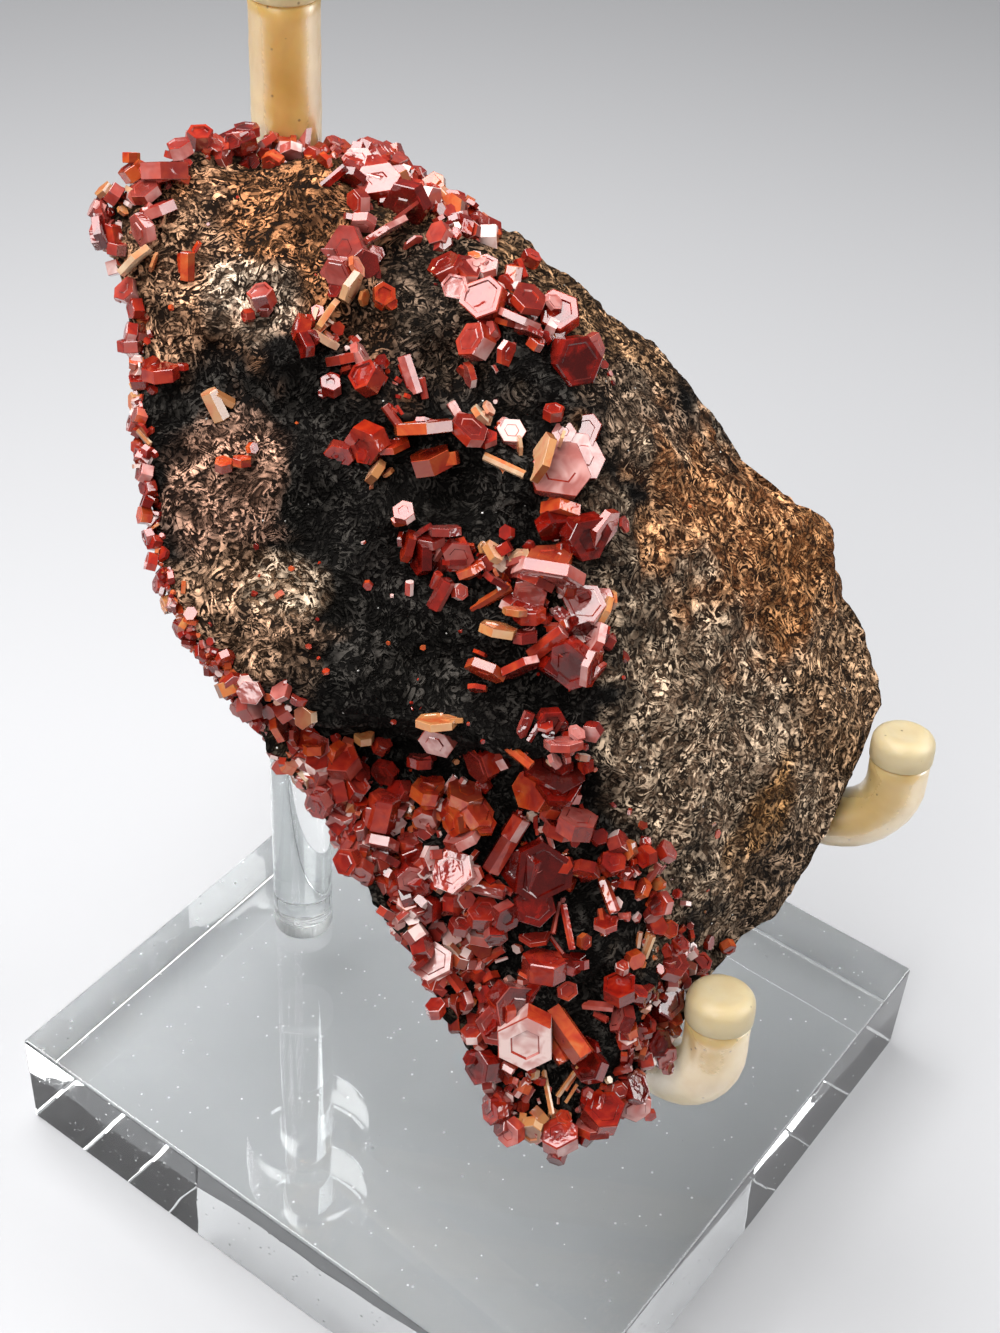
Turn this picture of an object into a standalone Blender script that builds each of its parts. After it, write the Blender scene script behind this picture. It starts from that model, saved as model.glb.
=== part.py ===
"""Vanadinite on matrix on its clear display stand, as closed solids in metres, +Z up.

The stand has a square base, an upright with a collar, and three thin brass rods in rubber
sleeves: one straight finger behind the stone and two J hooks under its lower edge. The stone
is one closed lump with a ledge and a ridge, and its crystals are six-sided plates and short
prisms, joined into one solid wherever they grew into each other.
"""
import math
import random

import bmesh
import bpy
import numpy as np
from mathutils import Matrix, Vector

MM = 0.001
FIT = 0.3                       # clearance between touching pieces, mm

# Stand, in mm. The origin is the centre of the base's underside.
BASE_SIDE = 101.6
BASE_THICK = 19.05
BASE_BEVEL = 0.5
POST_DIAMETER = 9.525
POST_X, POST_Y = -4.4, 33.7
COLLAR_DIAMETER = 23.0
COLLAR_LOW, COLLAR_HIGH = 74.0, 91.0
COLLAR_MID = 0.5 * (COLLAR_LOW + COLLAR_HIGH)
POST_SOCKET = 8.0               # depth of the post in the collar
ROD_SOCKET = 4.5                # depth of each thin rod in the collar
ROD_DIAMETER = 4.76
SLEEVE_DIAMETER = 8.4
SLEEVE_BORE = ROD_DIAMETER + 2 * FIT
CAP_DIAMETER = 9.1
CAP_BORE = ROD_DIAMETER + 2 * FIT
CAP_LENGTH = 4.2
CAP_SOCKET = 2.6                # how far a rod's end goes into its cap
FINGER_TOP = 181.0
SLEEVE_GAP = 2.0                # bare rod between the collar and a sleeve
HOOK_BEND = 8.0                 # bend radius of a hook's knee
ROUND = 16                      # sides of the thin round pieces

# Each hook: its tip, its prong's direction, its prong's length down to the knee and the
# height at which its arm leaves the collar.
HOOKS = {
    "left": ((-19.5, -49.3, 77.5), (0.14, 0.10, 1.0), 21.0, 79.0),
    "right": ((28.8, -47.6, 86.0), (0.14, 0.10, 1.0), 18.0, 86.0),
}

# Stone, in mm, in its own frame: X right, Y up and Z out along its broad front face.
STONE_PLACE = (-19.6, -12.7, 110.6)
STONE_LEAN = math.radians(49.2)
STONE_TURN = math.radians(-55.7)
STONE_CENTRE = (-3.0, 4.0)
BACK_DEPTH = -27.0
NET_CUTS = 13                   # cuts along each edge of the cube net laid over the stone
# Widest outline of the bare stone, once round from the top: X, Y and Z of its rim.
RIM = (
    (-27.0, 59.1, 4.2), (-33.5, 57.6, 8.8), (-39.3, 55.3, 17.0), (-43.8, 52.2, 19.0),
    (-46.3, 47.9, 21.0), (-46.5, 43.8, 21.0), (-43.7, 37.7, 22.0), (-42.0, 28.9, 22.0),
    (-41.1, 19.0, 22.0), (-39.0, 9.3, 21.0), (-35.8, 1.7, 20.0), (-30.7, -4.7, 18.0),
    (-25.5, -9.5, 16.0), (-19.6, -16.7, 13.0), (-14.1, -24.7, 10.0), (-7.8, -34.6, 7.0),
    (-0.6, -45.5, 3.0), (4.8, -54.6, 1.0), (10.2, -57.9, -1.0), (17.3, -54.6, -5.0),
    (22.4, -49.0, -8.5), (27.4, -40.2, -13.0), (33.5, -33.8, -21.0), (39.9, -30.8, -29.0),
    (44.1, -24.7, -33.0), (49.8, -13.5, -38.0), (54.6, -1.9, -43.0), (53.0, 3.7, -42.0),
    (47.9, 12.8, -39.0), (43.3, 21.2, -36.0), (38.6, 25.7, -34.0), (30.8, 30.5, -30.0),
    (24.5, 37.5, -26.0), (15.6, 44.5, -21.0), (4.4, 49.9, -13.0), (-3.6, 53.8, -7.0),
    (-11.0, 56.7, -3.0), (-18.1, 58.9, 0.2),
)

SMALLEST_PIECE = 11.0           # solids trimmed to less than this, in mm3, are left out
CORNER_SPAN = 1.12              # a large crystal's width over its corners, to that given
ROOT_LIFT = 0.2                 # height of every large crystal's middle above its root
WIDTH_LIFT = 0.27               # more of it as a share of the width, for a plate on its edge
LENGTH_LIFT = 0.30              # more of it as a share of the length, for a plate lying flat

# Large crystals on the stone's front, by zone: X, Y, width, length along the axis, the lean
# of the axis from the stone's Z and the bearing of that lean, in mm and degrees.
LARGE = {
    "rim": (
        (-41, 52.5, 5.6, 1.9, 78, 95), (-42.5, 41.5, 4.8, 0.7, 84, 135),
        (-35, 60, 4.7, 1.6, 50, 100), (-27, 61.5, 1.7, 5.5, 82, 88),
        (-18, 61.5, 6.3, 1.9, 62, 65), (-16, 60.5, 4.6, 1.7, 60, 35),
        (-17.5, 54.5, 5.1, 1.6, 28, 110), (-14, 51.5, 5.7, 1.8, 45, 230),
        (-23, 53.5, 1.1, 5.2, 82, 42),
    ),
    "upper": (
        (-20, 45, 5.1, 1.6, 18, 200), (-16, 47.5, 5.8, 0.7, 82, 125),
        (-4.5, 40.5, 4.9, 2.2, 18, 160), (0.5, 41, 4.3, 1.1, 45, 60),
        (4, 40, 5.1, 2.5, 14, 100), (6, 34.5, 5.8, 2.9, 28, 340), (8, 36, 5.0, 0.9, 60, 350),
        (-5, 35.5, 4.4, 2.2, 45, 165), (-0.5, 38.5, 4.9, 0.9, 80, 70),
    ),
    "face": (
        (-21.5, 37, 4.4, 0.7, 84, 150), (-16.5, 30.5, 4.4, 2.4, 42, 150),
        (-12, 31.5, 1.6, 4.4, 80, 112), (-10, 25.5, 6.6, 1.3, 80, 98),
        (-9, 22, 4.4, 2.0, 66, 112), (-16, 23.5, 5.3, 2.9, 58, 225),
        (-1, 22, 1.0, 5.0, 80, 338), (-39, 29.5, 4.6, 1.9, 66, 96),
    ),
    "ridge": (
        (5, 22, 6.8, 1.8, 14, 60), (7.5, 24, 5.1, 1.3, 32, 20), (3, 23, 5.5, 0.9, 72, 165),
        (5.5, 17.5, 4.4, 1.5, 66, 268), (8.5, 15, 5.3, 2.4, 36, 325),
        (10.5, 16, 4.4, 0.9, 66, 330), (4.5, 12, 5.5, 1.3, 58, 88),
        (4.5, 10.5, 7.3, 1.4, 78, 262), (-1.5, 7.5, 1.2, 5.1, 82, 35),
        (9, 7.5, 4.7, 1.6, 20, 120), (5, 3, 1.8, 4.8, 72, 41), (10, 3.5, 5.1, 1.0, 72, 160),
        (8, 1, 5.3, 2.2, 34, 230), (10, 0.5, 4.6, 0.9, 70, 345),
        (-1.5, -0.5, 4.2, 1.1, 76, 250), (2, 0, 4.6, 0.9, 78, 295), (11, 7, 4.2, 0.7, 76, 160),
    ),
    "wedge": (
        (-1.5, -11, 4.6, 1.8, 60, 212), (2.5, -9.5, 1.3, 4.2, 78, 325),
        (7, -10.5, 7.2, 1.8, 20, 60), (7.5, -8, 4.4, 0.9, 78, 95),
        (5, -13.5, 5.3, 2.5, 42, 190), (10, -17.5, 4.9, 2.1, 66, 80),
        (2, -20.5, 2.5, 8.2, 80, 63), (6.5, -23.5, 7.3, 2.1, 14, 320),
        (4, -23.5, 5.4, 1.6, 38, 200), (-4, -24, 5.4, 1.6, 18, 150),
        (0, -26, 1.6, 4.7, 80, 352), (-3, -15, 4.2, 1.6, 55, 80), (-3, -20, 4.2, 1.2, 70, 120),
        (-7.5, -15, 4.2, 1.6, 66, 80), (-6.5, -8.5, 4.2, 1.6, 45, 240),
        (-6.5, -6.5, 4.4, 0.9, 72, 95), (14.5, -26, 1.5, 4.5, 76, 294),
        (-17.5, -12, 4.4, 2.3, 35, 110), (-12.5, -17.5, 3.5, 4.2, 66, 80),
        (-12.5, -21.5, 4.4, 1.2, 72, 262),
    ),
    "tip": (
        (-5.5, -35.5, 4.5, 1.7, 24, 120), (-3.5, -37, 1.4, 4.5, 76, 312),
        (7.5, -35, 5.5, 2.6, 70, 90), (7.5, -34.5, 5.2, 0.8, 78, 90),
        (4, -40, 6.2, 2.6, 38, 340), (3, -41, 5.3, 1.2, 66, 190), (6, -44, 7.4, 3.1, 24, 265),
        (10.5, -43, 3.1, 8.0, 76, 310), (10, -30, 0.9, 5.4, 80, 285),
        (9, -50.5, 0.7, 6.3, 82, 285), (11.5, -49.5, 0.7, 4.6, 80, 60),
        (23.5, -35, 4.2, 1.7, 45, 60), (23, -40.5, 4.5, 3.2, 40, 30),
        (16, -53.5, 5.2, 2.7, 42, 80), (15, -55.5, 4.7, 1.1, 76, 90),
        (11, -56.5, 4.4, 2.9, 40, 100),
    ),
}
# Druses between them: a route over the stone's front in X and Y, the number of crystals,
# their spread either side of the route, and the smallest and largest width, all in mm.
DRUSES = (
    (((-44, 33), (-46, 43), (-43, 52), (-35, 57), (-26, 59), (-17, 58), (-9, 54)),
     14, 0.9, 3.8, 4.8),
    (((-42, 29), (-40.5, 19), (-38.5, 9.5), (-35, 2), (-30, -4)), 10, 0.3, 3.8, 4.4),
    (((-25, -8), (-18, -14), (-12, -20), (-7, -29), (-2, -38), (3, -47), (8, -54)),
     14, 1.8, 3.8, 4.8),
    (((22, -33), (20, -39), (17, -45), (12, -51)), 6, 1.4, 3.4, 4.6),
)


def clear_scene():
    """Remove every object that the new scene starts with."""
    for thing in list(bpy.data.objects):
        bpy.data.objects.remove(thing, do_unlink=True)


def collection(name):
    """Make a collection and link it to the scene."""
    group = bpy.data.collections.new(name)
    bpy.context.scene.collection.children.link(group)
    return group


def material(name, colour, roughness, metallic=0.0, transmission=0.0, ior=1.5):
    """A Principled material from plain values."""
    made = bpy.data.materials.new(name)
    made.use_nodes = True
    made.diffuse_color = (*colour, 1.0)
    shader = made.node_tree.nodes["Principled BSDF"]
    shader.inputs["Base Color"].default_value = (*colour, 1.0)
    shader.inputs["Roughness"].default_value = roughness
    shader.inputs["Metallic"].default_value = metallic
    shader.inputs["Transmission Weight"].default_value = transmission
    shader.inputs["IOR"].default_value = ior
    return made


def mesh_object(name, bm, group, finish, smooth=False):
    """Turn a bmesh in mm into a named object in metres."""
    bmesh.ops.scale(bm, vec=(MM, MM, MM), verts=bm.verts)
    bmesh.ops.recalc_face_normals(bm, faces=bm.faces)
    data = bpy.data.meshes.new(name)
    bm.to_mesh(data)
    bm.free()
    data.materials.append(finish)
    if smooth:
        data.shade_smooth()
    thing = bpy.data.objects.new(name, data)
    group.objects.link(thing)
    return thing


def boolean(thing, cutter, use_self=False):
    """Cut one object out of another, exactly."""
    cut = thing.modifiers.new("cut_" + cutter.name, "BOOLEAN")
    cut.operation = "DIFFERENCE"
    cut.solver = "EXACT"
    cut.use_self = use_self
    cut.object = cutter


def cylinder(name, diameter, low, high, group, finish, sides=32):
    """An upright cylinder between two heights, centred on the Z axis of its object."""
    bm = bmesh.new()
    bmesh.ops.create_cone(bm, cap_ends=True, segments=sides, radius1=diameter / 2,
                          radius2=diameter / 2, depth=high - low)
    bmesh.ops.translate(bm, vec=(0, 0, (low + high) / 2), verts=bm.verts)
    return mesh_object(name, bm, group, finish, smooth=True)


def set_cutter(thing):
    """Show a cutter as a wire and keep it out of renders."""
    thing.hide_render = True
    thing.display_type = "WIRE"


# Stand ------------------------------------------------------------------------------------

def make_base(group, finish):
    """The square block that everything stands on."""
    bm = bmesh.new()
    bmesh.ops.create_cube(bm, size=1.0)
    bmesh.ops.scale(bm, vec=(BASE_SIDE, BASE_SIDE, BASE_THICK), verts=bm.verts)
    bmesh.ops.translate(bm, vec=(0, 0, BASE_THICK / 2), verts=bm.verts)
    base = mesh_object("base_block", bm, group, finish)
    edge = base.modifiers.new("edge", "BEVEL")
    edge.width = BASE_BEVEL * MM
    edge.segments = 2
    edge.limit_method = "ANGLE"


def hook_path(tip, direction, length, leaves):
    """Centre line of a hook from the post's axis to its tip: arm, round knee, prong."""
    tip = Vector(tip)
    prong = Vector(direction).normalized()
    knee = tip - prong * length
    start = Vector((POST_X, POST_Y, leaves))
    arm = (start - knee).normalized()
    angle = arm.angle(prong)
    back = HOOK_BEND / math.tan(angle / 2)
    middle = knee + (arm + prong).normalized() * HOOK_BEND / math.sin(angle / 2)
    first = knee + arm * back - middle
    last = knee + prong * back - middle
    sweep = first.angle(last)
    steps = 6
    bend = [middle + (first * math.sin((1 - k / steps) * sweep)
                      + last * math.sin(k / steps * sweep)) / math.sin(sweep)
            for k in range(steps + 1)]
    return [start] + bend + [tip]


def trimmed(path, off_start, off_end):
    """The same line with its two ends moved in by the given lengths."""
    first = path[0] + (path[1] - path[0]).normalized() * off_start
    last = path[-1] - (path[-1] - path[-2]).normalized() * off_end
    return [first] + path[1:-1] + [last]


def tube(name, path, diameter, group, finish):
    """A round solid along a line, from a curve with filled caps."""
    curve = bpy.data.curves.new(name + "_line", "CURVE")
    curve.dimensions = "3D"
    curve.bevel_depth = diameter / 2 * MM
    curve.bevel_resolution = ROUND // 4 - 2
    curve.use_fill_caps = True
    line = curve.splines.new("POLY")
    line.points.add(len(path) - 1)
    for point, spot in zip(line.points, path):
        point.co = (spot[0] * MM, spot[1] * MM, spot[2] * MM, 1.0)
    holder = bpy.data.objects.new(name + "_curve", curve)
    group.objects.link(holder)
    bpy.context.view_layer.update()
    graph = bpy.context.evaluated_depsgraph_get()
    data = bpy.data.meshes.new_from_object(holder.evaluated_get(graph))
    data.name = name
    data.materials.clear()
    data.materials.append(finish)
    data.shade_smooth()
    bpy.data.objects.remove(holder, do_unlink=True)
    bm = bmesh.new()
    bm.from_mesh(data)
    bmesh.ops.remove_doubles(bm, verts=bm.verts, dist=0.00001)
    bmesh.ops.recalc_face_normals(bm, faces=bm.faces)
    bm.to_mesh(data)
    bm.free()
    thing = bpy.data.objects.new(name, data)
    group.objects.link(thing)
    return thing


def make_cap(name, tip, direction, group, finish):
    """A round-ended rubber cap, turned from its profile, on a rod's end beyond its sleeve."""
    outer, bore = CAP_DIAMETER / 2, CAP_BORE / 2
    round_end = 1.2
    corner = [(outer - round_end + round_end * math.cos(a), round_end * math.sin(a) - round_end)
              for a in (0.0, math.pi / 6, math.pi / 3, math.pi / 2)]
    profile = ([(0.0, -CAP_LENGTH + CAP_SOCKET), (bore, -CAP_LENGTH + CAP_SOCKET),
                (bore, -CAP_LENGTH), (outer, -CAP_LENGTH)] + corner + [(0.0, 0.0)])
    bm = bmesh.new()
    spots = [bm.verts.new((radius, 0.0, height)) for radius, height in profile]
    edges = [bm.edges.new(pair) for pair in zip(spots, spots[1:])]
    bmesh.ops.spin(bm, geom=spots + edges, cent=(0, 0, 0), axis=(0, 0, 1),
                   angle=2 * math.pi, steps=ROUND)
    bmesh.ops.remove_doubles(bm, verts=bm.verts, dist=0.01)
    cap = mesh_object(name, bm, group, finish, smooth=True)
    turn = Vector((0, 0, 1)).rotation_difference(Vector(direction))
    cap.rotation_euler = turn.to_euler()
    cap.location = Vector(tip) * MM


def make_prong(name, path, group, cutters, finishes):
    """One thin rod from the collar, with its sleeve and its end cap."""
    reach = COLLAR_DIAMETER / 2 if name != "finger" else COLLAR_HIGH - COLLAR_MID
    core = trimmed(path, reach - ROD_SOCKET, CAP_LENGTH - CAP_SOCKET + FIT)
    cover = trimmed(path, reach + SLEEVE_GAP, CAP_LENGTH + FIT)
    bore = trimmed(path, reach - 4.0, -2.0)
    socket = trimmed([path[0], path[1]], reach - ROD_SOCKET - FIT, -2.0)
    tube(name + "_rod", core, ROD_DIAMETER, group, finishes["brass"])
    sleeve = tube(name + "_sleeve", cover, SLEEVE_DIAMETER, group, finishes["sleeve"])
    inner = tube(name + "_sleeve_bore", bore, SLEEVE_BORE, cutters, finishes["brass"])
    boolean(sleeve, inner)
    hole = tube(name + "_socket", socket, SLEEVE_BORE, cutters, finishes["brass"])
    for cutter in (inner, hole):
        set_cutter(cutter)
    make_cap(name + "_cap", path[-1], (path[-1] - path[-2]).normalized(), group, finishes["cap"])
    return hole


def make_stand(group, cutters, finishes):
    """Base, post, collar, finger and the two hooks."""
    make_base(group, finishes["acrylic"])
    post = cylinder("post", POST_DIAMETER, BASE_THICK + FIT, COLLAR_LOW + POST_SOCKET,
                    group, finishes["acrylic"])
    collar = cylinder("collar", COLLAR_DIAMETER, COLLAR_LOW, COLLAR_HIGH,
                      group, finishes["acrylic"])
    seat = cylinder("post_socket", POST_DIAMETER + 2 * FIT, COLLAR_LOW - 2.0,
                    COLLAR_LOW + POST_SOCKET + FIT, cutters, finishes["acrylic"])
    for thing in (post, collar, seat):
        thing.location = (POST_X * MM, POST_Y * MM, 0)
    set_cutter(seat)
    boolean(collar, seat)
    middle = Vector((POST_X, POST_Y, COLLAR_MID))
    finger = [middle, middle + Vector((0, 0, 40)), Vector((POST_X, POST_Y, FINGER_TOP))]
    boolean(collar, make_prong("finger", finger, group, cutters, finishes))
    for side, figures in HOOKS.items():
        path = hook_path(*figures)
        boolean(collar, make_prong(side + "_hook", path, group, cutters, finishes))


# Stone ------------------------------------------------------------------------------------

def rim_at(angle):
    """Radius and height of the rim at angles about the stone's centre."""
    rim = np.array(RIM)
    x, y = rim[:, 0] - STONE_CENTRE[0], rim[:, 1] - STONE_CENTRE[1]
    angles = np.arctan2(y, x)
    order = np.argsort(angles)
    radius = np.interp(angle, angles[order], np.hypot(x, y)[order], period=2 * math.pi)
    height = np.interp(angle, angles[order], rim[order, 2], period=2 * math.pi)
    return radius, height


def lumps(x, y):
    """Low swells over the stone: a sum of crossed sine waves, in mm."""
    return (1.0 * np.sin(0.31 * x + 0.17 * y + 1.0) * np.sin(0.23 * y - 0.12 * x)
            + 0.5 * np.sin(0.52 * x - 0.37 * y + 2.0) + 0.5 * np.sin(0.21 * x + 0.61 * y))


def smooth_step(low, high, value):
    """0 below low, 1 above high, and a soft rise between."""
    t = np.clip((value - low) / (high - low), 0.0, 1.0)
    return t * t * (3.0 - 2.0 * t)


def soft_min(first, second, blend):
    """The smaller of two heights with the crease rounded over blend mm."""
    return -blend * np.logaddexp(-first / blend, -second / blend)


def front_height(x, y):
    """Height of the front: a broad face over an undercut wedge, and a slope on the right."""
    broad = 25.0 - 0.06 * (x + 38.0) - 0.22 * np.maximum(y - 42.0, 0.0)
    wedge = 13.0 + 0.30 * (y + 9.0)
    left = wedge + (broad - wedge) * smooth_step(-10.5, -7.0, y + 0.12 * (x + 10.0))
    right = (22.0 - 1.2 * (x - 11.0) + 0.35 * np.minimum(y + 10.0, 0.0)
             - 0.35 * np.maximum(y - 15.0, 0.0))
    knob = 3.0 * np.exp(-((x - 40.0) ** 2 + (y - 22.0) ** 2) / 14.0)
    return soft_min(left, right, 1.6) + knob + lumps(x, y)


def back_height(x, y, rim_height, reach):
    """Height of the back: a shallow bowl down to its deepest place."""
    return rim_height + (BACK_DEPTH - rim_height) * (1.0 - reach ** 2.2) + 0.5 * lumps(y, x)


def stone_surface(angle, reach, front):
    """Points of the stone from a direction, a share of the way to the rim, and a side."""
    radius, rim_height = rim_at(angle)
    x = STONE_CENTRE[0] + radius * reach * np.cos(angle)
    y = STONE_CENTRE[1] + radius * reach * np.sin(angle)
    rise = np.sqrt(np.clip(1.0 - reach ** 6, 0.0, 1.0))
    face = rim_height + (front_height(x, y) - rim_height) * rise
    rear = back_height(x, y, rim_height, reach)
    inner = smooth_step(1.0, 0.97, reach)
    rear = rim_height + (rear - rim_height) * inner
    return np.stack([x, y, np.where(front, face, rear)], axis=1)


def stone_mesh(swell):
    """A cube's even net laid over the stone; swell moves it out along its normals."""
    bm = bmesh.new()
    bmesh.ops.create_cube(bm, size=2.0)
    bmesh.ops.subdivide_edges(bm, edges=bm.edges, cuts=NET_CUTS, use_grid_fill=True)
    cube = np.array([vert.co[:] for vert in bm.verts])
    swung = np.tan(cube * math.pi / 4)
    unit = swung / np.linalg.norm(swung, axis=1, keepdims=True)
    angle = np.arctan2(unit[:, 1], unit[:, 0])
    reach = np.hypot(unit[:, 0], unit[:, 1])
    for vert, spot in zip(bm.verts, stone_surface(angle, reach, unit[:, 2] > 0)):
        vert.co = spot
    bmesh.ops.triangulate(bm, faces=bm.faces)
    bmesh.ops.recalc_face_normals(bm, faces=bm.faces)
    bm.normal_update()
    if swell:
        for vert in bm.verts:
            vert.co += vert.normal * swell
    return bm


def set_on_stand(thing):
    """Place something modelled in the stone's frame."""
    thing.location = Vector(STONE_PLACE) * MM
    thing.rotation_euler = (STONE_LEAN, 0.0, STONE_TURN)


def front_spot(x, y):
    """The point of the stone's front over X and Y, and the outward normal there."""
    def height(px, py):
        dx, dy = px - STONE_CENTRE[0], py - STONE_CENTRE[1]
        angle = np.array([math.atan2(dy, dx)])
        radius, _ = rim_at(angle)
        reach = np.minimum(np.hypot(dx, dy) / radius, 0.985)
        return stone_surface(angle, reach, np.array([True]))[0]
    here = height(x, y)
    over, along = height(x + 0.5, y), height(x, y + 0.5)
    slope_x = (over[2] - here[2]) / 0.5
    slope_y = (along[2] - here[2]) / 0.5
    return Vector(here), Vector((-slope_x, -slope_y, 1.0)).normalized()


def add_crystal(bm, place, axis, width, length, spin):
    """A six-sided prism with flat ends, centred on a place."""
    turn = Vector((0, 0, 1)).rotation_difference(axis).to_matrix().to_4x4()
    grown = Matrix.Translation(place) @ turn @ Matrix.Rotation(spin, 4, "Z")
    bmesh.ops.create_cone(bm, cap_ends=True, segments=6, radius1=width / 2,
                          radius2=width / 2, depth=length, matrix=grown)


def along_route(route, share):
    """A point part of the way along a route of straight runs."""
    spots = np.array(route, dtype=float)
    runs = np.hypot(*np.diff(spots, axis=0).T)
    marks = np.concatenate([[0.0], np.cumsum(runs)]) / runs.sum()
    return np.interp(share, marks, spots[:, 0]), np.interp(share, marks, spots[:, 1])


def add_druse(bm, seed, route, count, spread, small, large):
    """Crystals in a row along a route, each leaning its own way and into the next."""
    pick = random.Random(seed)
    for number in range(count):
        x, y = along_route(route, (number + 0.5) / count)
        x += pick.uniform(-spread, spread)
        y += pick.uniform(-spread, spread)
        place, normal = front_spot(x, y)
        width = pick.uniform(small, large)
        length = width * pick.uniform(0.45, 0.8)
        lean = Vector((pick.gauss(0, 1), pick.gauss(0, 1), pick.gauss(0, 1))) * 0.7
        axis = (normal + lean).normalized()
        add_crystal(bm, place + normal * width * 0.2, axis, width, length,
                    pick.uniform(0, math.pi))


def add_large(bm, x, y, width, length, lean, bearing):
    """One crystal rooted in the front, its middle lifted so that about half stands free."""
    place, _ = front_spot(x, y)
    lean, bearing = math.radians(lean), math.radians(bearing)
    axis = Vector((math.sin(lean) * math.cos(bearing), math.sin(lean) * math.sin(bearing),
                   math.cos(lean)))
    place.z += ROOT_LIFT + WIDTH_LIFT * width * math.sin(lean)
    place.z += LENGTH_LIFT * length * math.cos(lean)
    add_crystal(bm, place, axis, CORNER_SPAN * width, length, bearing)


def loose_pieces(data):
    """The separate closed shells of a mesh, largest first, as bmeshes with their volumes."""
    whole = bmesh.new()
    whole.from_mesh(data)
    bmesh.ops.remove_doubles(whole, verts=whole.verts, dist=0.000001)
    whole.faces.ensure_lookup_table()
    left, shells = set(whole.faces), []
    while left:
        front = [left.pop()]
        shell = list(front)
        while front:
            near = {face for edge in front.pop().edges for face in edge.link_faces} & left
            left -= near
            front.extend(near)
            shell.extend(near)
        shells.append({face.index for face in shell})
    pieces = []
    for keep in shells:
        piece = whole.copy()
        piece.faces.ensure_lookup_table()
        gone = [face for face in piece.faces if face.index not in keep]
        bmesh.ops.delete(piece, geom=gone, context="FACES")
        pieces.append((piece.calc_volume(), piece))
    whole.free()
    return sorted(pieces, key=lambda pair: -pair[0])


def nearest_zone(spot):
    """The zone of the large crystal nearest a point of the stone's frame, in mm."""
    def gap(name):
        return min(math.dist(spot, figures[:2]) for figures in LARGE[name])
    return min(LARGE, key=gap)


def make_crystals(bm, group, cutters, finish, clearance):
    """Join overlapping crystals into solids, trim them clear of the stone and name them."""
    rough = mesh_object("crystals_rough", bm, cutters, finish)
    set_on_stand(rough)
    boolean(rough, clearance, use_self=True)
    bpy.context.view_layer.update()
    graph = bpy.context.evaluated_depsgraph_get()
    data = bpy.data.meshes.new_from_object(rough.evaluated_get(graph))
    bpy.data.objects.remove(rough, do_unlink=True)
    counts = dict.fromkeys(LARGE, 0)
    for volume, piece in loose_pieces(data):
        if volume < SMALLEST_PIECE * MM ** 3:
            continue
        spots = np.array([vert.co[:] for vert in piece.verts]) / MM
        zone = nearest_zone(tuple(spots.mean(axis=0)[:2]))
        counts[zone] += 1
        label = f"crystals_{zone}_{counts[zone]}"
        bmesh.ops.dissolve_degenerate(piece, dist=0.000001, edges=piece.edges)
        made = bpy.data.meshes.new(label)
        piece.to_mesh(made)
        made.materials.clear()
        made.materials.append(finish)
        thing = bpy.data.objects.new(label, made)
        group.objects.link(thing)
        set_on_stand(thing)


def make_specimen(group, cutters, finishes):
    """The stone and everything that grows on it."""
    stone = mesh_object("matrix", stone_mesh(0.0), group, finishes["matrix"])
    set_on_stand(stone)
    clearance = mesh_object("matrix_clearance", stone_mesh(FIT), cutters, finishes["matrix"])
    set_on_stand(clearance)
    set_cutter(clearance)
    grown = bmesh.new()
    for seed, figures in enumerate(DRUSES):
        add_druse(grown, seed, *figures)
    for zone in LARGE.values():
        for figures in zone:
            add_large(grown, *figures)
    make_crystals(grown, group, cutters, finishes["vanadinite"], clearance)


clear_scene()
pieces = collection("vanadinite_on_matrix")
shapes_to_cut = collection("cutters")
looks = {
    "acrylic": material("clear_acrylic", (0.95, 0.97, 0.98), 0.03, transmission=1.0, ior=1.49),
    "brass": material("brass_rod", (0.72, 0.52, 0.25), 0.35, metallic=1.0),
    "sleeve": material("amber_rubber", (0.72, 0.48, 0.20), 0.45),
    "cap": material("cream_rubber", (0.85, 0.78, 0.62), 0.40),
    "matrix": material("manganese_matrix", (0.10, 0.075, 0.055), 0.85),
    "vanadinite": material("vanadinite_red", (0.45, 0.04, 0.02), 0.18),
}
make_stand(pieces, shapes_to_cut, looks)
make_specimen(pieces, shapes_to_cut, looks)
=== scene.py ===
"""Vanadinite on matrix on its clear stand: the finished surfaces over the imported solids."""
import math

import bpy
import numpy as np
from mathutils import Euler, Matrix, Vector
from mathutils.bvhtree import BVHTree


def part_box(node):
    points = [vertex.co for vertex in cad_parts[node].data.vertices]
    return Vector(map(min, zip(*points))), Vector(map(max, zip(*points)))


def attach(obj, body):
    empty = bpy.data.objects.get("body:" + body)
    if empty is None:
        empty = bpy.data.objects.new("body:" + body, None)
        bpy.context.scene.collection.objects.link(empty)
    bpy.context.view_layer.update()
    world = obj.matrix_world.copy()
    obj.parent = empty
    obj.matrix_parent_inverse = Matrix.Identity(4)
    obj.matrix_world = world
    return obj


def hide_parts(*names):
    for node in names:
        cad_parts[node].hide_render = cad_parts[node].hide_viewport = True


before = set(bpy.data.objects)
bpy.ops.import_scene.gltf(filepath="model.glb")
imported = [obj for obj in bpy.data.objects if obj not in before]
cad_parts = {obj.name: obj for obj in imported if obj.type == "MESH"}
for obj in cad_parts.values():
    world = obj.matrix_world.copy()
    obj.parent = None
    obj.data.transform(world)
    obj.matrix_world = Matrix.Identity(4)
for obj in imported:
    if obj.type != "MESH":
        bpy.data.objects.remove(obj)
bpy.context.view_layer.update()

MM = 0.001

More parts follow.
